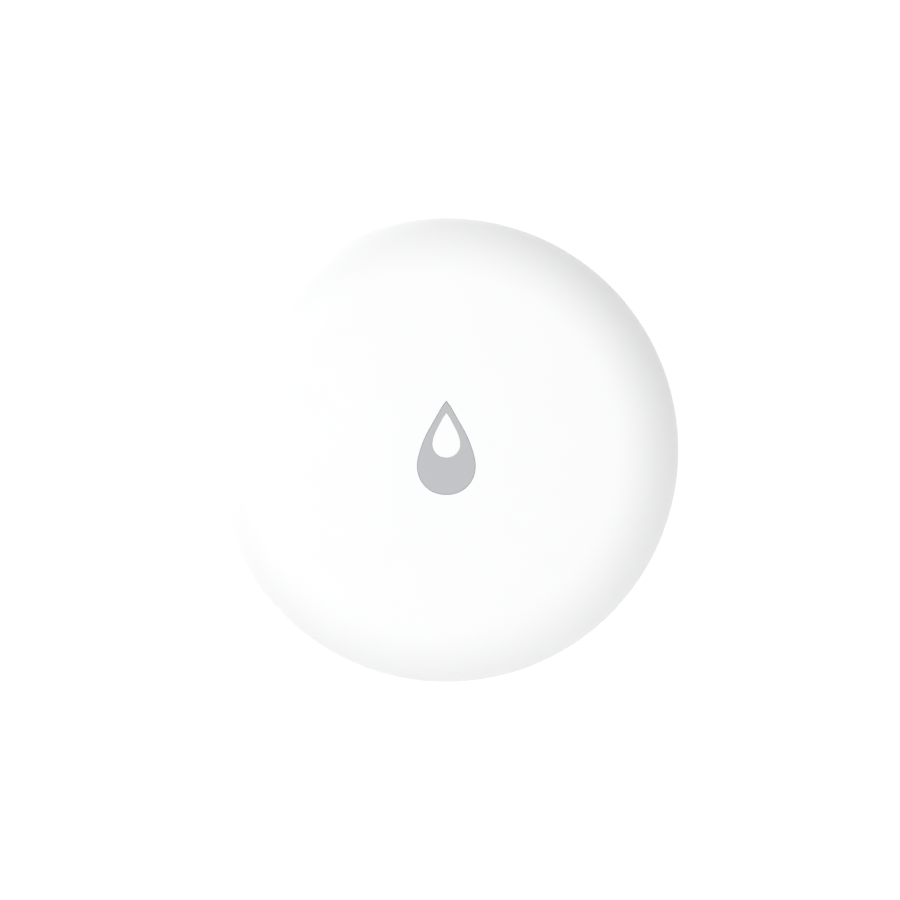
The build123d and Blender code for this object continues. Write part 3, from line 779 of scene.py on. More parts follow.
@dataclass(frozen=True)
class Finishes:
    """Every finish on the sensor."""

    white: MouldedPlastic = MouldedPlastic("white satin plastic", (0.925, 0.927, 0.93))
    key_grey: MouldedPlastic = MouldedPlastic("grey key plastic", (0.495, 0.507, 0.523), 0.42)
    inlay_white: MouldedPlastic = MouldedPlastic("white inlay plastic", (0.925, 0.927, 0.925), 0.4)
    inner: MouldedPlastic = MouldedPlastic("natural inner plastic", (0.78, 0.77, 0.73), 0.45)
    black_plastic: MouldedPlastic = MouldedPlastic("black switch plastic", (0.018, 0.018, 0.02), 0.4,
                                                   cloud_share=1.3)
    plunger: MouldedPlastic = MouldedPlastic("ivory plunger plastic", (0.74, 0.7, 0.6), 0.38)
    gasket: MouldedPlastic = MouldedPlastic("gasket plastic", (0.72, 0.74, 0.74), 0.4)
    silicone: Silicone = Silicone("grey silicone", (0.46, 0.48, 0.49))
    cell: Metal = Metal("stainless cell steel", (0.62, 0.61, 0.59), 0.3, Ring.ROUND_CENTRE)
    probe: Metal = Metal("nickel plated probe", (0.71, 0.68, 0.62), 0.18, Ring.ROUND_PROBES)
    screw: Metal = Metal("zinc plated screw", (0.6, 0.61, 0.63), 0.26, Ring.ROUND_CENTRE)
    brass: Metal = Metal("turned brass", (0.79, 0.58, 0.25), 0.22, Ring.ROUND_PROBES)
    tin: Metal = Metal("tinned steel", (0.68, 0.68, 0.67), 0.3)
    copper: Metal = Metal("bare copper", (0.78, 0.42, 0.25), 0.3)
    board: Laminate = Laminate("green board laminate")
    chip: Compound = Compound("black chip compound", (0.022, 0.022, 0.024))
    tantalum: Compound = Compound("yellow capacitor compound", (0.62, 0.4, 0.08), 0.45)
    capacitor: Compound = Compound("tan capacitor ceramic", (0.42, 0.29, 0.17), 0.4)
    resistor: Compound = Compound("dark resistor ceramic", (0.03, 0.03, 0.035), 0.35)
    lens: Compound = Compound("milky light lens", (0.8, 0.78, 0.55), 0.25)

    def dress_frame(self) -> None:
        """Dresses every node of the frame."""
        for name, finish in {
            "top_cover": self.white,
            "drop_key": self.key_grey,
            "drop_highlight": self.inlay_white,
            "key_boot": self.silicone,
            "boot_retainer": self.inner,
            "housing_seal": self.silicone,
            "base_housing": self.white,
            "battery_cover": self.white,
            "battery_cover_seal": self.silicone,
            "coin_cell_can": self.cell,
            "coin_cell_gasket": self.gasket,
            "coin_cell_cap": self.cell,
            "probe_screws": self.probe,
            "probe_seals": self.silicone,
            "probe_standoffs": self.brass,
            "circuit_board": self.board,
            "board_screws": self.screw,
            "switch_body": self.black_plastic,
            "switch_frame": self.tin,
            "switch_dome": self.tin,
            "switch_plunger": self.plunger,
            "positive_contact": self.tin,
            "negative_contact": self.tin,
            "radio_shield": self.tin,
            "radio_chip": self.chip,
            "antenna_trace": self.copper,
            "status_led": self.lens,
            "buffer_capacitor": self.tantalum,
            "sense_chip": self.chip,
            "crystals": self.tin,
            "capacitors": self.capacitor,
            "resistors": self.resistor,
        }.items():
            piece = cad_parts[name]
            piece.data.materials.clear()
            piece.data.materials.append(finish.material())
            log.info("dressed %s in %s", name, finish.name)


@dataclass(frozen=True)
class PuckForm:
    """The smooth pebble form that both housing halves share."""

    radius: float = 25.0 * MM
    height: float = 15.0 * MM
    crown_radius: float = 160.0 * MM
    shoulder_radius: float = 7.5 * MM
    side_tuck: float = 2.5 * MM
    underside: float = 0.7 * MM

    @property
    def crown_centre(self) -> float:
        """Height of the centre of the crown's sphere."""
        return self.height - self.crown_radius

    @property
    def shoulder_centre(self) -> float:
        """Radius at which the shoulder's arc has its centre."""
        return self.radius - self.shoulder_radius

    @property
    def blend_degrees(self) -> float:
        """Angle above the horizon at which the shoulder runs into the crown."""
        return math.degrees(math.acos(self.shoulder_centre / (self.crown_radius - self.shoulder_radius)))

    @property
    def widest(self) -> float:
        """Height of the widest place."""
        return self.crown_centre + polar(self.crown_radius - self.shoulder_radius, self.blend_degrees)[1]

    @property
    def side_radius(self) -> float:
        """Radius of the arc that tucks the side in, down to the underside."""
        rise = self.widest - self.underside
        return (self.side_tuck**2 + rise**2) / (2 * self.side_tuck)

    @property
    def side_centre(self) -> float:
        """Radius at which the side arc has its centre."""
        return self.radius - self.side_radius

    def crown_height(self, x: float, y: float = 0.0) -> float:
        """Height of the crown over a point."""
        return self.crown_centre + math.sqrt(self.crown_radius**2 - x * x - y * y)

    def let_down(self, piece: Piece, reach: float) -> None:
        """Lets a level face down onto the crown, which falls away from the middle.

        Args:
            piece: The piece, drawn as if the crown were level.
            reach: Height above which its points are let down.
        """
        for vertex in piece.data.vertices:
            if vertex.co.z > reach:
                vertex.co.z += self.crown_height(vertex.co.x, vertex.co.y) - self.height

    def side_degrees(self, height: float) -> float:
        """Angle below the horizon at which the side arc has a height."""
        return math.degrees(math.asin((self.widest - height) / self.side_radius))

    def side_reach(self, height: float) -> float:
        """Radius of the side at a height below the widest place."""
        return self.side_centre + self.side_radius * math.cos(math.radians(self.side_degrees(height)))


class Outline:
    """A closed level outline that can be drawn at any height, and grown or drawn in."""

    def draw(self, level: float, grow: float) -> Pen:
        """Draws the outline; each kind of outline has its own way."""
        raise NotImplementedError

    def loop(self, level: float, grow: float = 0.0) -> Piece:
        """The closed outline as a piece of edges alone.

        Args:
            level: Its height.
            grow: How far it lies outside the plain outline.

        Returns:
            The piece.
        """
        pen = self.draw(level, grow)
        weld()
        bpy.ops.object.mode_set(mode="OBJECT")
        return pen.piece

    def roll(self, level: float, grow: float, rise: float, spread: float, sections: int = 4) -> list[Piece]:
        """Loops of a quarter round, which starts upright and ends level.

        Args:
            level: Height at which it starts.
            grow: How far outside the plain outline it starts.
            rise: How far it rises.
            spread: How far it runs outwards.
            sections: Number of faces across it.

        Returns:
            The loops, in order.
        """
        turns = [math.radians(90 * step / sections) for step in range(sections + 1)]
        return [self.loop(level + rise * math.sin(turn), grow + spread * (1 - math.cos(turn)))
                for turn in turns]

    def pocket(self, mouth: float, depth: float, edge: float, floor_edge: float, sections: int = 4) -> Piece:
        """A cutter for a pocket in the underside, with a rolled mouth and a rounded floor.

        Args:
            mouth: Height of the surface that it opens into, from below.
            depth: How deep the pocket is.
            edge: Radius of the mouth's edge.
            floor_edge: Radius round the floor.
            sections: Number of faces across each radius.

        Returns:
            The closed cutter.
        """
        return capped(bridged([self.loop(mouth - OVERRUN, edge),
                               *self.roll(mouth + edge, 0, -edge, edge, sections)[::-1],
                               *self.roll(mouth + depth - floor_edge, 0, floor_edge, -floor_edge, sections)]))


@dataclass(frozen=True)
class RoundOutline(Outline):
    """A circle with its first vertex towards +Y."""

    radius: float
    centre: Pair = (0.0, 0.0)
    steps: int = 48

    def draw(self, level: float, grow: float) -> Pen:
        """Draws the circle."""
        start = (self.centre[0], self.centre[1] + self.radius + grow)
        return Pen(start, level).arc(self.centre, 360, self.steps)


@dataclass(frozen=True)
class SlotOutline(Outline):
    """A straight slot along X with round ends."""

    length: float
    width: float
    end_steps: int = 24

    def draw(self, level: float, grow: float) -> Pen:
        """Draws two long sides and two half circles.

        Args:
            level: Height of the outline.
            grow: How far it lies outside the slot.

        Returns:
            The pen, still in edit mode.
        """
        end = (self.length - self.width) / 2
        half = self.width / 2 + grow
        pen = Pen((end, half), level).line((-end, half)).arc((-end, 0), 180, self.end_steps)
        return pen.line((end, -half)).arc((end, 0), 180, self.end_steps)


@dataclass(frozen=True)
class CrossOutline(Outline):
    """The cross of a screw's drive recess, with its four arms slightly tapered."""

    length: float
    width: float
    tip_share: float = 0.8

    def draw(self, level: float, grow: float) -> Pen:
        """Draws the twelve corners.

        Args:
            level: Height of the outline.
            grow: How far it lies outside the cross.

        Returns:
            The pen, still in edit mode.
        """
        far = self.length / 2 + grow
        near = self.width / 2 + grow
        tip = self.tip_share * near
        corners = []
        for x, y in (polar(1, 90 * turn) for turn in range(4)):
            for out, side in ((near, -near), (far, -tip), (far, tip)):
                corners.append((out * x - side * y, out * y + side * x))
        return Pen(corners[0], level).line(*corners[1:], corners[0])


@dataclass(frozen=True)
class DropOutline(Outline):
    """A water drop with its tip towards +Y: a bulb, two side arcs and two straight flanks.

    The flanks turn in a little just before they meet, so that the tip is slightly blunt.
    """

    width: float
    height: float
    side: float
    flank_degrees: float
    lowest: float
    tip_length: float = 0.9 * MM
    tip_drop: float = 0.2 * MM
    fullness: float = 2.1
    flank_steps: int = 16
    side_steps: int = 24
    bulb_steps: int = 112

    def bulb_points(self, radius: float, turn: float) -> list[Pair]:
        """The bulb's points, round above its middle and a little fuller than round below it.

        Args:
            radius: Half the bulb's width.
            turn: How far the bulb reaches above its middle at each side.

        Returns:
            The points, from the left side round to the right one.
        """
        points = []
        for step in range(1, self.bulb_steps + 1):
            angle = math.pi - turn + (math.pi + 2 * turn) * step / self.bulb_steps
            power = 2 / self.fullness if math.sin(angle) < 0 else 1
            parts = math.cos(angle), math.sin(angle)
            across, along = (math.copysign(abs(part) ** power, part) for part in parts)
            points.append((radius * across, self.lowest + self.width / 2 + radius * along))
        return points

    def draw(self, level: float, grow: float) -> Pen:
        """Draws the closed outline, from the tip round the bulb and back.

        Args:
            level: Height of the outline.
            grow: How far it lies outside the drop.

        Returns:
            The pen, still in edit mode.
        """
        bulb = self.width / 2
        rise = self.height - bulb
        reach = self.side - bulb
        flank = math.radians(self.flank_degrees)
        turn = flank - math.acos((self.side - rise * math.sin(flank)) / reach)
        side_turn = math.degrees(flank - turn)
        middle = self.lowest + bulb
        centre = Vector((reach * math.cos(turn), middle - reach * math.sin(turn)))
        mirrored = Vector((-centre.x, centre.y))
        shoulder = Vector(polar(self.side + grow, self.flank_degrees))
        left = centre + Vector((-shoulder.x, shoulder.y))
        right = mirrored + shoulder
        tip = Vector((0, middle + rise + grow / math.sin(flank)))
        blunt = tip - Vector((0, self.tip_drop))
        first = self.tip_length / (left - tip).length
        shares = [first + (1 - first) * step / self.flank_steps for step in range(self.flank_steps + 1)]
        pen = Pen(blunt, level).line(*(tip.lerp(left, share) for share in shares))
        pen.arc(centre, side_turn, self.side_steps)
        pen.line(*self.bulb_points(bulb + grow, turn))
        pen.arc(mirrored, side_turn, self.side_steps)
        return pen.line(*(tip.lerp(right, share) for share in reversed(shares[:-1])), blunt)


def circle_loop(radius: float, level: float) -> Piece:
    """A level circle of edges that meets a lathed rim point by point.

    Args:
        radius: Its radius.
        level: Its height.

    Returns:
        The piece.
    """
    pick()
    bpy.ops.mesh.primitive_circle_add(vertices=LAPS, radius=radius, location=(0, 0, level))
    return settled(bpy.context.object)


@dataclass
class TopShell:
    """White domed shell with the drop's opening, and the tower, ribs, stakes and post inside it."""

    form: PuckForm
    drop: DropOutline
    seam: float
    tower_radius: float
    wall: float = 1.6 * MM
    skirt_radius: float = 23.2 * MM
    skirt_top: float = 8.04 * MM
    seam_edge: float = 0.15 * MM
    snap_low: float = 5.04 * MM
    snap_high: float = 5.64 * MM
    snap_depth: float = 0.3 * MM
    apron_radius: float = 6.5 * MM
    clearance: float = 0.03 * MM
    opening_edge: float = 0.03 * MM
    well_rings: int = 2
    apron_rings: int = 14
    well_top: float = 13.35 * MM
    seat_top: float = 10.1 * MM
    tower_wall: float = 2.45 * MM
    seat_wall: float = 1.5 * MM
    tower_low: float = 9.4 * MM
    rib_count: int = 6
    rib_width: float = 0.8 * MM
    rib_depth: float = 1.3 * MM
    stake_count: int = 3
    stake_radius: float = 0.45 * MM
    stake_head: float = 0.8 * MM
    stake_low: float = 8.6 * MM
    head_height: float = 0.35 * MM
    post_radius: float = 1.0 * MM
    post_circle: float = 20.45 * MM
    post_low: float = 6.55 * MM

    @property
    def seat_radius(self) -> float:
        """Radius of the boot's seat in the tower."""
        return self.tower_radius - self.seat_wall

    @property
    def well_radius(self) -> float:
        """Radius of the key's well in the tower."""
        return self.tower_radius - self.tower_wall

    @property
    def stake_circle(self) -> float:
        """Radius of the circle on which the stakes stand."""
        return self.tower_radius - self.seat_wall / 2

    def walls(self) -> Piece:
        """Lathes the shell from the apron round the drop, over the outside and back to the key's well."""
        form, edge = self.form, self.seam_edge
        crown = (0, form.crown_centre)
        shoulder = (form.shoulder_centre, form.widest)
        low = self.seam + edge
        skirt, snap = self.skirt_radius, self.skirt_radius + self.snap_depth
        apron_degrees = math.degrees(math.acos(self.apron_radius / form.crown_radius))
        pen = Pen((self.apron_radius, form.crown_height(self.apron_radius)))
        pen.arc(crown, form.blend_degrees - apron_degrees, steps=24)
        pen.arc(shoulder, -form.blend_degrees, steps=36)
        pen.arc((form.side_centre, form.widest), -form.side_degrees(low), steps=8)
        pen.arc((form.side_reach(low) - edge, low), -90, steps=5)
        pen.line((skirt + edge, self.seam), (skirt, low), (skirt, self.snap_low),
                 (snap, self.snap_low + edge), (snap, self.snap_high - edge), (skirt, self.snap_high),
                 (skirt, self.skirt_top))
        inner = form.shoulder_radius - self.wall
        inner_degrees = math.degrees(math.asin((self.skirt_top - form.widest) / inner))
        pen.line((form.shoulder_centre + polar(inner, inner_degrees)[0], self.skirt_top))
        pen.arc(shoulder, form.blend_degrees - inner_degrees, steps=16)
        tower_degrees = math.degrees(math.acos(self.tower_radius / (form.crown_radius - self.wall)))
        pen.arc(crown, tower_degrees - form.blend_degrees, steps=8)
        pen.line((self.tower_radius, self.tower_low), (self.seat_radius, self.tower_low),
                 (self.seat_radius, self.seat_top), (self.well_radius, self.seat_top),
                 (self.well_radius, self.well_top))
        return pen.lathe()

    def opening(self) -> Piece:
        """Bridges the drop's opening: ceiling of the well, wall, rolled edge, and the apron on the crown."""
        edge, top = self.opening_edge, self.form.height
        loops = [circle_loop(self.well_radius, self.well_top), self.drop.loop(self.well_top, self.clearance),
                 *self.drop.roll(top - edge, self.clearance, edge, edge), circle_loop(self.apron_radius, top)]
        opening = bridged(loops, {0: self.well_rings, len(loops) - 2: self.apron_rings})
        self.form.let_down(opening, top - 2 * edge)
        return opening

    def stake(self) -> Piece:
        """One stake with its domed head, which holds the boot's retainer."""
        low = self.stake_low - self.head_height
        pen = Pen((0, self.seat_top))
        pen.line((self.stake_radius, self.seat_top), (self.stake_radius, self.stake_low),
                 (self.stake_head, self.stake_low), (self.stake_head, low + self.seam_edge),
                 (self.stake_head - self.seam_edge, low), (0, low))
        return pen.lathe(steps=24, at=(self.stake_circle, 0))

    def rib(self) -> Piece:
        """One radial rib under the crown."""
        inner, outer = self.tower_radius - self.rib_width, self.form.shoulder_centre
        low = self.form.height - self.wall - self.rib_depth
        high = self.form.crown_height(outer) - self.wall / 2
        half = self.rib_width / 2
        return block((inner, -half, low), (outer, half, high), self.rib_width / 5)

    def post(self) -> Piece:
        """The post that finds the board's notch."""
        top = self.form.crown_height(self.post_circle) - 2 * self.wall
        pen = Pen((0, top))
        pen.line((self.post_radius, top), (self.post_radius, self.post_low + self.seam_edge),
                 (self.post_radius - self.seam_edge, self.post_low), (0, self.post_low))
        return pen.lathe(steps=32, at=(0, -self.post_circle))

    def build(self, finish: Material) -> None:
        """Models the shell and hands it to the frame.

        Args:
            finish: Its material.
        """
        shell = joined(self.walls(), self.opening())
        bpy.ops.object.mode_set(mode="EDIT")
        weld(4 * WELD)
        close_skin()
        ribs = repeated(self.rib(), self.rib_count, 180 / self.rib_count)
        cut(shell, joined(ribs, repeated(self.stake(), self.stake_count), self.post()), "UNION")
        hand_over("top_shell", shell, Body.HOUSING, finish, "top_cover")


@dataclass
class DropKey:
    """Grey drop-shaped key and the small white drop let into it."""

    form: PuckForm
    drop: DropOutline
    inlay: DropOutline
    flange_reach: float
    recess: float = 0.02 * MM
    edge: float = 0.03 * MM
    face_rings: int = 8
    flange_low: float = 12.62 * MM
    flange_high: float = 13.32 * MM
    flange_width: float = 0.7 * MM
    pocket_floor: float = 14.4 * MM
    inlay_gap: float = 0.008 * MM
    pusher_radius: float = 1.8 * MM
    pusher_low: float = 9.85 * MM
    web_width: float = 0.7 * MM
    web_reach: float = 3.0 * MM
    web_edge: float = 0.12 * MM
    web_low: float = 11.235 * MM

    def stem(self) -> Piece:
        """The flange's round pusher with a rolled lower edge."""
        top, edge = self.flange_low + self.web_edge, self.pusher_low + self.web_edge
        pen = Pen((0, top)).line((self.pusher_radius, top), (self.pusher_radius, edge))
        pen.arc((self.pusher_radius - self.web_edge, edge), -90, steps=4)
        return pen.line((0, self.pusher_low)).lathe(steps=64)

    def web(self) -> Piece:
        """The cross web that stiffens the pusher."""
        half, top = self.web_width / 2, self.flange_low + 2 * self.web_edge
        return block((-half, -self.web_reach, self.web_low), (half, self.web_reach, top), self.web_edge)

    def build(self, grey: Material, white: Material) -> None:
        """Models the key and its inlay and hands both to the frame.

        Args:
            grey: The key's material.
            white: The inlay's material.
        """
        drop, inlay, edge, wide = self.drop, self.inlay, self.edge, self.flange_width
        brink = self.form.height - self.recess - edge
        outside = [drop.loop(self.flange_low, wide), drop.loop(self.flange_high, wide),
                   drop.loop(self.flange_high), *drop.roll(brink, 0, edge, -edge)]
        pocket = [*inlay.roll(brink, self.inlay_gap, edge, edge)[::-1],
                  inlay.loop(self.pocket_floor, self.inlay_gap)]
        key = bridged(outside + pocket, {len(outside) - 1: self.face_rings})
        self.form.let_down(key, brink - edge)
        far = self.flange_reach + wide
        cut(capped(key), block((-far, self.flange_reach, self.flange_low - OVERRUN),
                               (far, 2 * far, self.flange_high + OVERRUN)))
        cut(key, self.web(), "UNION")
        cut(key, self.stem(), "UNION")
        hand_over("grey_drop", key, Body.KEY, grey, "drop_key")
        chip = capped(bridged([inlay.loop(self.pocket_floor), *inlay.roll(brink, 0, edge, -edge)]))
        self.form.let_down(chip, brink - edge)
        hand_over("white_drop", chip, Body.KEY, white, "drop_highlight")


@dataclass
class BaseShell:
    """White lower housing: tucked-in side, tongue, battery well, bayonet, bosses, feet and pockets."""

    form: PuckForm
    seam: float
    side_edge: float = 0.35 * MM
    side_edge_shares: tuple[Pair, ...] = ((0.45, 0.35), (0.95, 0.08), (1.5, 0.0))
    edge: float = 0.12 * MM
    step: float = 0.02 * MM
    shelf_depth: float = 0.4 * MM
    shelf_drop: float = 0.25 * MM
    tongue_radius: float = 23.15 * MM
    tongue_top: float = 7.99 * MM
    groove_radius: float = 22.4 * MM
    groove_low: float = 6.29 * MM
    groove_high: float = 7.49 * MM
    cavity_radius: float = 21.65 * MM
    inner_floor: float = 2.4 * MM
    recess_radius: float = 13.4 * MM
    recess_top: float = 1.85 * MM
    bore_radius: float = 11.03 * MM
    ledge_top: float = 2.7 * MM
    lug_groove: float = 11.83 * MM
    shoulder: float = 3.5 * MM
    bay_radius: float = 10.4 * MM
    bay_wall: float = 1.3 * MM
    bay_top: float = 6.05 * MM
    well_radius: float = 14.1 * MM
    well_top: float = 4.5 * MM
    lug_count: int = 3
    stop_degrees: float = 42.0
    stop_middle: float = 37.0
    entry_degrees: float = 34.0
    entry_middle: float = -45.0
    snap_count: int = 4
    snap_degrees: float = 22.0
    snap_low: float = 5.09 * MM
    snap_high: float = 5.59 * MM
    snap_reach: float = 23.45 * MM
    foot_inner: float = 20.2 * MM
    foot_outer: float = 21.6 * MM
    foot_lead: float = 0.25 * MM
    foot_gap: float = 40.0
    foot_count: int = 2
    first_degrees: float = 90.0
    rib_width: float = 0.9 * MM
    rib_top: float = 4.2 * MM
    rib_count: int = 6
    probe_circle: float = 19.75 * MM
    probe_count: int = 2
    pocket_radius: float = 2.05 * MM
    pocket_top: float = 1.3 * MM
    seal_radius: float = 1.6 * MM
    seal_top: float = 1.9 * MM
    probe_hole: float = 0.95 * MM
    probe_boss: float = 2.45 * MM
    probe_boss_top: float = 3.0 * MM
    screw_circle: float = 18.55 * MM
    screw_boss: float = 1.9 * MM
    screw_boss_top: float = 6.55 * MM
    screw_bore: float = 0.87 * MM
    screw_bore_low: float = 2.55 * MM
    screw_count: int = 3
    window_degrees: float = 120.0
    window_width: float = 3.8 * MM
    window_low: float = 3.8 * MM
    mark_circle: float = 14.9 * MM
    mark_radius: float = 0.45 * MM
    mark_depth: float = 0.2 * MM
    mark_degrees: Pair = (90.0, 45.0)

    def walls(self) -> Piece:
        """Lathes the whole section, from the shelf at the seam down the side and back up the tongue."""
        form, edge, side_edge, underside = self.form, self.edge, self.side_edge, self.form.underside
        shelf = form.side_reach(self.seam) - self.shelf_depth
        low = self.seam - self.shelf_drop
        start = form.side_degrees(low - edge)
        rim = form.side_reach(low - edge)
        recess, bore, bay = self.recess_radius, self.bore_radius, self.bay_radius
        bay_out, well, cavity = bay + self.bay_wall, self.well_radius, self.cavity_radius
        tongue, floor = self.tongue_radius, self.inner_floor
        pen = Pen((shelf, self.seam)).line((shelf, low), (rim - edge, low))
        pen.arc((rim - edge, low - edge), -90, steps=4)
        pen.arc((form.side_centre, form.widest), start - form.side_degrees(underside + side_edge), steps=20)
        corner = pen.at.x
        for inwards, upwards in self.side_edge_shares:
            pen.line((corner - side_edge * inwards, underside + side_edge * upwards))
        pen.line((recess + 2 * edge, underside), (recess + edge, underside))
        pen.arc((recess + edge, underside + edge), -90, steps=4)
        pen.line((recess, self.recess_top), (bore + edge, self.recess_top))
        pen.arc((bore + edge, self.recess_top + edge), -90, steps=2)
        pen.line((bore, self.ledge_top), (self.lug_groove, self.ledge_top), (self.lug_groove, self.shoulder),
                 (bay, self.shoulder), (bay, self.bay_top - edge), (bay + edge, self.bay_top),
                 (bay_out - edge, self.bay_top), (bay_out, self.bay_top - edge), (bay_out, self.well_top),
                 (well - edge, self.well_top), (well, self.well_top - edge), (well, floor + edge),
                 (well + edge, floor), (cavity - edge, floor), (cavity, floor + edge),
                 (cavity, self.tongue_top - edge), (cavity + edge, self.tongue_top),
                 (tongue - edge, self.tongue_top), (tongue, self.tongue_top - edge),
                 (tongue, self.groove_high), (self.groove_radius, self.groove_high),
                 (self.groove_radius, self.groove_low), (tongue, self.groove_low),
                 (tongue, self.seam + edge), (tongue + edge, self.seam), (shelf, self.seam))
        return pen.lathe()

    def foot(self) -> Piece:
        """One arc-shaped foot with rounded edges, open towards the probes."""
        return sector((self.foot_inner, 0), (self.foot_outer, self.inner_floor - 2 * self.foot_lead),
                      180 - self.foot_gap, 90, self.foot_lead)

    def rib(self) -> Piece:
        """One radial rib between the battery well and the wall."""
        edge, half = self.edge, self.rib_width / 2
        return block((self.well_radius - 3 * edge, -half, self.inner_floor - 3 * edge),
                     (self.cavity_radius + 2 * edge, half, self.rib_top), edge)

    def boss(self, radius: float, top: float, circle: float) -> Piece:
        """A round boss on the floor with a rounded top edge.

        Args:
            radius: Its radius.
            top: Its height.
            circle: How far it stands from the middle.

        Returns:
            The closed boss.
        """
        low, edge = self.inner_floor - 2 * self.edge, self.edge
        pen = Pen((0, low)).line((radius, low), (radius, top - edge))
        pen.arc((radius - edge, top - edge), 90, steps=3)
        return pen.line((0, top)).lathe(steps=48, at=(circle, 0))

    def probe_bore(self) -> Piece:
        """Cutter for one probe's pocket with its rolled mouth, its seal's seat and its hole."""
        edge, low, top = self.edge, self.form.underside, self.probe_boss_top + OVERRUN
        mouth = self.pocket_radius + edge
        pen = Pen((0, low - OVERRUN)).line((mouth, low - OVERRUN), (mouth, low))
        pen.arc((mouth, low + edge), -90, steps=4)
        pen.line((self.pocket_radius, self.pocket_top), (self.seal_radius, self.pocket_top),
                 (self.seal_radius, self.seal_top), (self.probe_hole, self.seal_top),
                 (self.probe_hole, top), (0, top))
        return pen.lathe(steps=64, at=(self.probe_circle, 0))

    def screw_hole(self) -> Piece:
        """Cutter for one board screw's hole."""
        bore, edge, top = self.screw_bore, self.edge, self.screw_boss_top
        pen = Pen((0, self.screw_bore_low))
        pen.line((bore, self.screw_bore_low + edge), (bore, top - edge), (bore + edge, top),
                 (bore + edge, top + OVERRUN), (0, top + OVERRUN))
        return pen.lathe(steps=32, at=(self.screw_circle, 0))

    def window(self) -> Piece:
        """Cutter for the window through which the positive contact reaches the cell."""
        half, outer = self.window_width / 2, self.bay_radius + self.bay_wall
        return turned(block((self.bay_radius - OVERRUN, -half, self.window_low),
                            (outer + OVERRUN / 2, half, self.bay_top + OVERRUN)), self.window_degrees)

    def build(self, finish: Material) -> None:
        """Models the housing and hands it to the frame.

        Args:
            finish: Its material.
        """
        edge = self.edge
        stop = sector((self.bore_radius + self.step, self.ledge_top - edge),
                      (self.lug_groove + edge, self.shoulder + edge), self.stop_degrees, self.stop_middle)
        snap = sector((self.groove_radius, self.snap_low), (self.snap_reach, self.snap_high),
                      self.snap_degrees, 0, edge)
        entry = sector((self.bay_radius + self.step, self.form.underside),
                       (self.lug_groove + self.step, (self.ledge_top + self.shoulder) / 2),
                       self.entry_degrees, self.entry_middle)
        screw_boss = self.boss(self.screw_boss, self.screw_boss_top, self.screw_circle)
        probe_boss = self.boss(self.probe_boss, self.probe_boss_top, self.probe_circle)
        base = self.walls()
        for piece, count, first in ((self.rib(), self.rib_count, self.first_degrees),
                                    (screw_boss, self.screw_count, self.first_degrees),
                                    (probe_boss, self.probe_count, 0), (stop, self.lug_count, 0),
                                    (snap, self.snap_count, 0), (self.foot(), self.foot_count, 0)):
            cut(base, repeated(piece, count, first), "UNION")
        taken = [repeated(entry, self.lug_count), repeated(self.probe_bore(), self.probe_count),
                 repeated(self.screw_hole(), self.screw_count, self.first_degrees), self.window()]
        for degrees in self.mark_degrees:
            mark = RoundOutline(self.mark_radius, polar(self.mark_circle, degrees))
            taken.append(mark.pocket(self.form.underside, self.mark_depth, edge / 2, edge / 2))
        cut(base, joined(*taken))
        hand_over("base_shell", base, Body.HOUSING, finish, "base_housing")


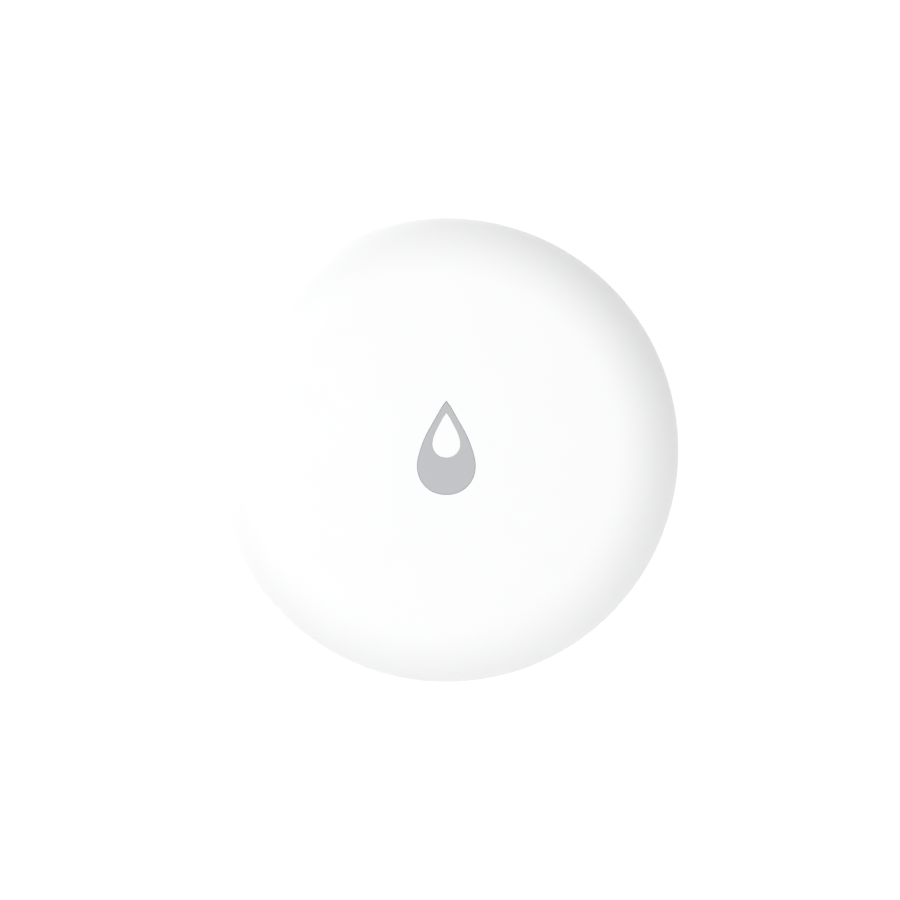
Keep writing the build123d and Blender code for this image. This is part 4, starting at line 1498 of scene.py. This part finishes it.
@dataclass
class BatteryCover:
    """Round cover with a coin slot outside, and a neck with three bayonet lugs inside."""

    radius: float
    underside: float
    top: float
    rim_edge: float = 0.25 * MM
    small_edge: float = 0.08 * MM
    flange_face: float = 1.8 * MM
    plate_top: float = 2.3 * MM
    seal_outer: float = 12.93 * MM
    seal_inner: float = 12.13 * MM
    seal_floor: float = 1.15 * MM
    neck_outer: float = 10.95 * MM
    neck_inner: float = 10.25 * MM
    lug_radius: float = 11.75 * MM
    lug_low: float = 2.75 * MM
    lug_degrees: float = 30.0
    lug_laps: int = 144
    lug_count: int = 3
    ring_radius: float = 7.25 * MM
    ring_width: float = 0.5 * MM
    ring_depth: float = 0.2 * MM
    slot: SlotOutline = SlotOutline(length=13.0 * MM, width=1.9 * MM)
    slot_depth: float = 0.9 * MM
    slot_edge: float = 0.12 * MM
    slot_floor_edge: float = 0.35 * MM
    mark_radius: float = 0.45 * MM
    mark_depth: float = 0.2 * MM
    mark_inset: float = 1.5 * MM

    def disc(self) -> Piece:
        """Lathes the cover, from the middle of its face round the rim to the middle of its inside."""
        low, face, top = self.underside, self.flange_face, self.top
        edge, small = self.rim_edge, self.small_edge
        ring, groove, radius = self.ring_radius, self.ring_width / 2, self.radius
        pen = Pen((0, low)).line((self.slot.length / 2 - self.ring_width, low), (ring - groove, low))
        pen.arc((ring, low - groove + self.ring_depth), -90, steps=1)
        pen.line((ring + groove, low), (radius - 2 * edge, low), (radius - edge, low))
        pen.arc((radius - edge, low + edge), 90, steps=6).line((radius, face - small))
        pen.arc((radius - small, face - small), 90, steps=3)
        pen.line((self.seal_outer, face), (self.seal_outer, self.seal_floor),
                 (self.seal_inner, self.seal_floor), (self.seal_inner, face), (self.neck_outer, face),
                 (self.neck_outer, top - small))
        pen.arc((self.neck_outer - small, top - small), 90, steps=3).line((self.neck_inner + small, top))
        pen.arc((self.neck_inner + small, top - small), 90, steps=3)
        return pen.line((self.neck_inner, self.plate_top), (0, self.plate_top)).lathe()

    def build(self, finish: Material) -> None:
        """Models the cover and hands it to the frame.

        Args:
            finish: Its material.
        """
        small, half = self.small_edge, self.lug_degrees / 2
        lug = sector(((self.neck_inner + self.neck_outer) / 2, self.lug_low), (self.lug_radius, self.top),
                     self.lug_degrees, half, small, sections=2, laps=self.lug_laps)
        cover = self.disc()
        cut(cover, repeated(lug, self.lug_count, -half), "UNION")
        cut(cover, self.slot.pocket(self.underside, self.slot_depth, self.slot_edge, self.slot_floor_edge))
        mark = RoundOutline(self.mark_radius, (0, self.radius - self.mark_inset))
        cut(cover, mark.pocket(self.underside, self.mark_depth, small, small))
        hand_over("turn_cover", cover, Body.BATTERY_COVER, finish, "battery_cover")


@dataclass
class Probes:
    """The two metal probes: pan-head screws with a cross recess, whose heads hang just above the floor."""

    circle: float
    low: float
    tip: float
    head_radius: float = 1.8 * MM
    head_rise: float = 0.95 * MM
    crown: float = 0.3 * MM
    edge: float = 0.06 * MM
    shank_radius: float = 0.9 * MM
    pitch: float = 0.45 * MM
    thread_depth: float = 0.16 * MM
    tooth_shares: tuple[float, float, float] = (0.35, 0.5, 0.85)
    recess: CrossOutline = CrossOutline(length=2.0 * MM, width=0.55 * MM)
    recess_depth: float = 0.45 * MM
    recess_edge: float = 0.03 * MM
    recess_floor_edge: float = 0.1 * MM
    recess_degrees: float = 20.0

    def screw(self) -> Piece:
        """Lathes the crowned head, face down, with its plain neck and the ringed teeth of its shank."""
        edge, depth, shank = self.edge, self.thread_depth, self.shank_radius
        flat, core = self.head_radius - self.crown, shank - depth
        high = self.low + self.head_rise
        neck_end = high + self.head_rise / 3
        start = neck_end + 2 * depth
        pen = Pen((0, self.low)).line((flat / 2, self.low), (flat, self.low))
        pen.arc((flat, self.low + self.crown), 90, steps=8).line((self.head_radius, high - edge))
        pen.arc((self.head_radius - edge, high - edge), 90, steps=3)
        pen.line((shank, high), (shank, neck_end), (core, neck_end + depth), (core, start))
        for tooth in range(math.floor((self.tip - depth - start) / self.pitch)):
            low = start + tooth * self.pitch
            rise, fall, root = (low + share * self.pitch for share in self.tooth_shares)
            pen.line((shank, rise), (shank, fall), (core, root), (core, low + self.pitch))
        return pen.line((core, self.tip - depth), (core - depth, self.tip), (0, self.tip)).lathe(steps=64)

    def build(self, finish: Material) -> None:
        """Models one probe, copies it to the other side and hands both to the frame.

        Args:
            finish: Their material.
        """
        probe = self.screw()
        cut(probe, self.recess.pocket(self.low, self.recess_depth, self.recess_edge,
                                      self.recess_floor_edge, sections=2))
        probe.location.x = self.circle
        turned(probe, self.recess_degrees)
        pair = joined(probe, copied(probe, 180))
        hand_over("probes", pair, Body.HOUSING, finish, "probe_screws")


@dataclass(frozen=True)
class Lamp:
    """Power, size and place of one square lamp."""

    watts: float
    size: float
    distance: float
    azimuth: float
    elevation: float


@dataclass
class Studio:
    """Pale floor, soft plain light from the left, and the camera straight above."""

    floor_size: float = 1.6
    floor_colour: Colour = (0.86, 0.86, 0.86)
    floor_glow: float = 0.38
    cloud_size: float = 60 * MM
    cloud_share: float = 0.99
    world_strength: float = 0.889
    world_slope: float = 0.348
    world_azimuth: float = 75.0
    world_elevation: float = 66.0
    flag_depth: float = 0.76
    flag_azimuth: float = 45.0
    main_lamp: Lamp = Lamp(watts=1.0, size=0.6, distance=1.1, azimuth=170.0, elevation=50.0)
    under_lamp: Lamp = Lamp(watts=3.2, size=0.5, distance=1.1, azimuth=150.0, elevation=-40.0)
    lens: float = 300.0
    sensor: float = 36.0
    view_width: float = 97 * MM
    widest_height: float = 6.49 * MM
    shift_right: float = 0.39 * MM
    sight: float = 10.0

    def build_floor(self) -> None:
        """Lays the floor: white to the camera, with the sensor's own soft shadow on it."""
        pick()
        bpy.ops.mesh.primitive_plane_add(size=self.floor_size, location=(0, 0, 0))
        floor = bpy.context.object
        floor.name = "floor"
        graph = Graph("pale floor")
        graph.set(ior=1.4, roughness=0.7, emission_color=(1, 1, 1, 1), emission_strength=self.floor_glow)
        colour = graph.blend(graph.noise(self.cloud_size), self.floor_colour,
                             shade(self.floor_colour, self.cloud_share))
        graph.link(colour, graph.shader.inputs["Base Color"])
        front = graph.math("SUBTRACT", 1.0, graph.node("NewGeometry")["Backfacing"])
        shown = graph.math("MULTIPLY", looked_at(graph.tree), front)
        mix = graph.node("MixShader", {"Fac": shown, 1: graph.node("BsdfTransparent")["BSDF"],
                                       2: graph.shader.outputs["BSDF"]})
        graph.link(mix["Shader"], graph.output.inputs["Surface"])
        floor.data.materials.append(graph.material)

    def facing(self, tree: bpy.types.NodeTree, azimuth: float, elevation: float) -> Socket:
        """How far a direction of the world faces another one.

        Args:
            tree: The world's node tree.
            azimuth: Azimuth of the other direction.
            elevation: Its elevation.

        Returns:
            The cosine of the angle between the two.
        """
        out, rise = polar(1, elevation)
        values = {0: new_node(tree, "TexCoord")["Generated"], 1: (*polar(out, azimuth), rise)}
        return new_node(tree, "VectorMath", values, operation="DOT_PRODUCT")["Value"]

    def build_world(self) -> None:
        """Sets the plain soft light: brightest above, with a dark flag to the upper right.

        What the camera, metal and glass see past the floor is white.
        """
        world = bpy.data.worlds.new("soft studio")
        bpy.context.scene.world = world
        world.use_nodes = True
        tree = world.node_tree
        back = tree.nodes["Background"]
        back.inputs["Color"].default_value = (1, 1, 1, 1)
        flag = sum_of(tree, "MAXIMUM", self.facing(tree, self.flag_azimuth, 0), 0.0)
        flag = sum_of(tree, "MULTIPLY", flag, flag)
        slope = self.facing(tree, self.world_azimuth, self.world_elevation)
        level = sum_of(tree, "MULTIPLY_ADD", slope, self.world_slope, self.world_strength)
        level = sum_of(tree, "MULTIPLY_ADD", flag, -self.flag_depth, level)
        mix = new_node(tree, "Mix", {"Factor": looked_at(tree), 2: level, 3: 1.0})
        tree.links.new(mix[0], back.inputs["Strength"])

    def build_lamp(self, name: str, lamp: Lamp) -> None:
        """Hangs one large soft lamp, turned to the sensor.

        Args:
            name: Name of the lamp.
            lamp: Its power, size and place.
        """
        data = bpy.data.lights.new(name, "AREA")
        data.size = lamp.size
        data.energy = lamp.watts
        hung = bpy.data.objects.new(name, data)
        bpy.context.scene.collection.objects.link(hung)
        out, rise = polar(lamp.distance, lamp.elevation)
        hung.location = (*polar(out, lamp.azimuth), rise)
        hung.rotation_euler = hung.location.to_track_quat("Z", "Y").to_euler()

    def build_camera(self) -> None:
        """Places the camera above, so far off that the widest place has the photograph's scale."""
        data = bpy.data.cameras.new("camera")
        data.lens = self.lens
        data.sensor_width = self.sensor
        camera = bpy.data.objects.new("camera", data)
        bpy.context.scene.collection.objects.link(camera)
        distance = self.view_width * self.lens / self.sensor
        camera.location = (self.shift_right, 0, self.widest_height + distance)
        data.clip_end = self.sight
        bpy.context.scene.camera = camera

    def build(self) -> None:
        """Sets up the whole studio."""
        self.build_floor()
        self.build_world()
        self.build_lamp("soft lamp", self.main_lamp)
        self.build_lamp("underside lamp", self.under_lamp)
        self.build_camera()
        bpy.context.scene.view_settings.view_transform = "Standard"
        log.info("studio is set up")


def main() -> None:
    """Builds and dresses every piece, in order."""
    logging.basicConfig(level=logging.INFO, format="%(name)s: %(message)s")
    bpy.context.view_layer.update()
    finishes = Finishes()
    finishes.dress_frame()
    form = PuckForm()
    drop = DropOutline(width=6.17 * MM, height=10.12 * MM, side=11.2 * MM, flank_degrees=29.7,
                       lowest=-4.74 * MM)
    inlay = DropOutline(width=2.99 * MM, height=5.0 * MM, side=4.13 * MM, flank_degrees=27.5,
                        lowest=-0.82 * MM)
    white = finishes.white.material()
    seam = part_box("top_cover")[0].z
    TopShell(form, drop, seam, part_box("boot_retainer")[1].x).build(white)
    DropKey(form, drop, inlay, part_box("drop_key")[1].y).build(finishes.key_grey.material(),
                                                             finishes.inlay_white.material())
    BaseShell(form, seam).build(white)
    cover_low, cover_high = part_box("battery_cover")
    BatteryCover(cover_high.x, cover_low.z, cover_high.z).build(white)
    probe_low, probe_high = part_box("probe_screws")
    circle = probe_high.x - (probe_high.y - probe_low.y) / 2
    Probes(circle, probe_low.z, probe_high.z).build(finishes.probe.material())
    Studio().build()


if __name__ == "__main__":
    main()
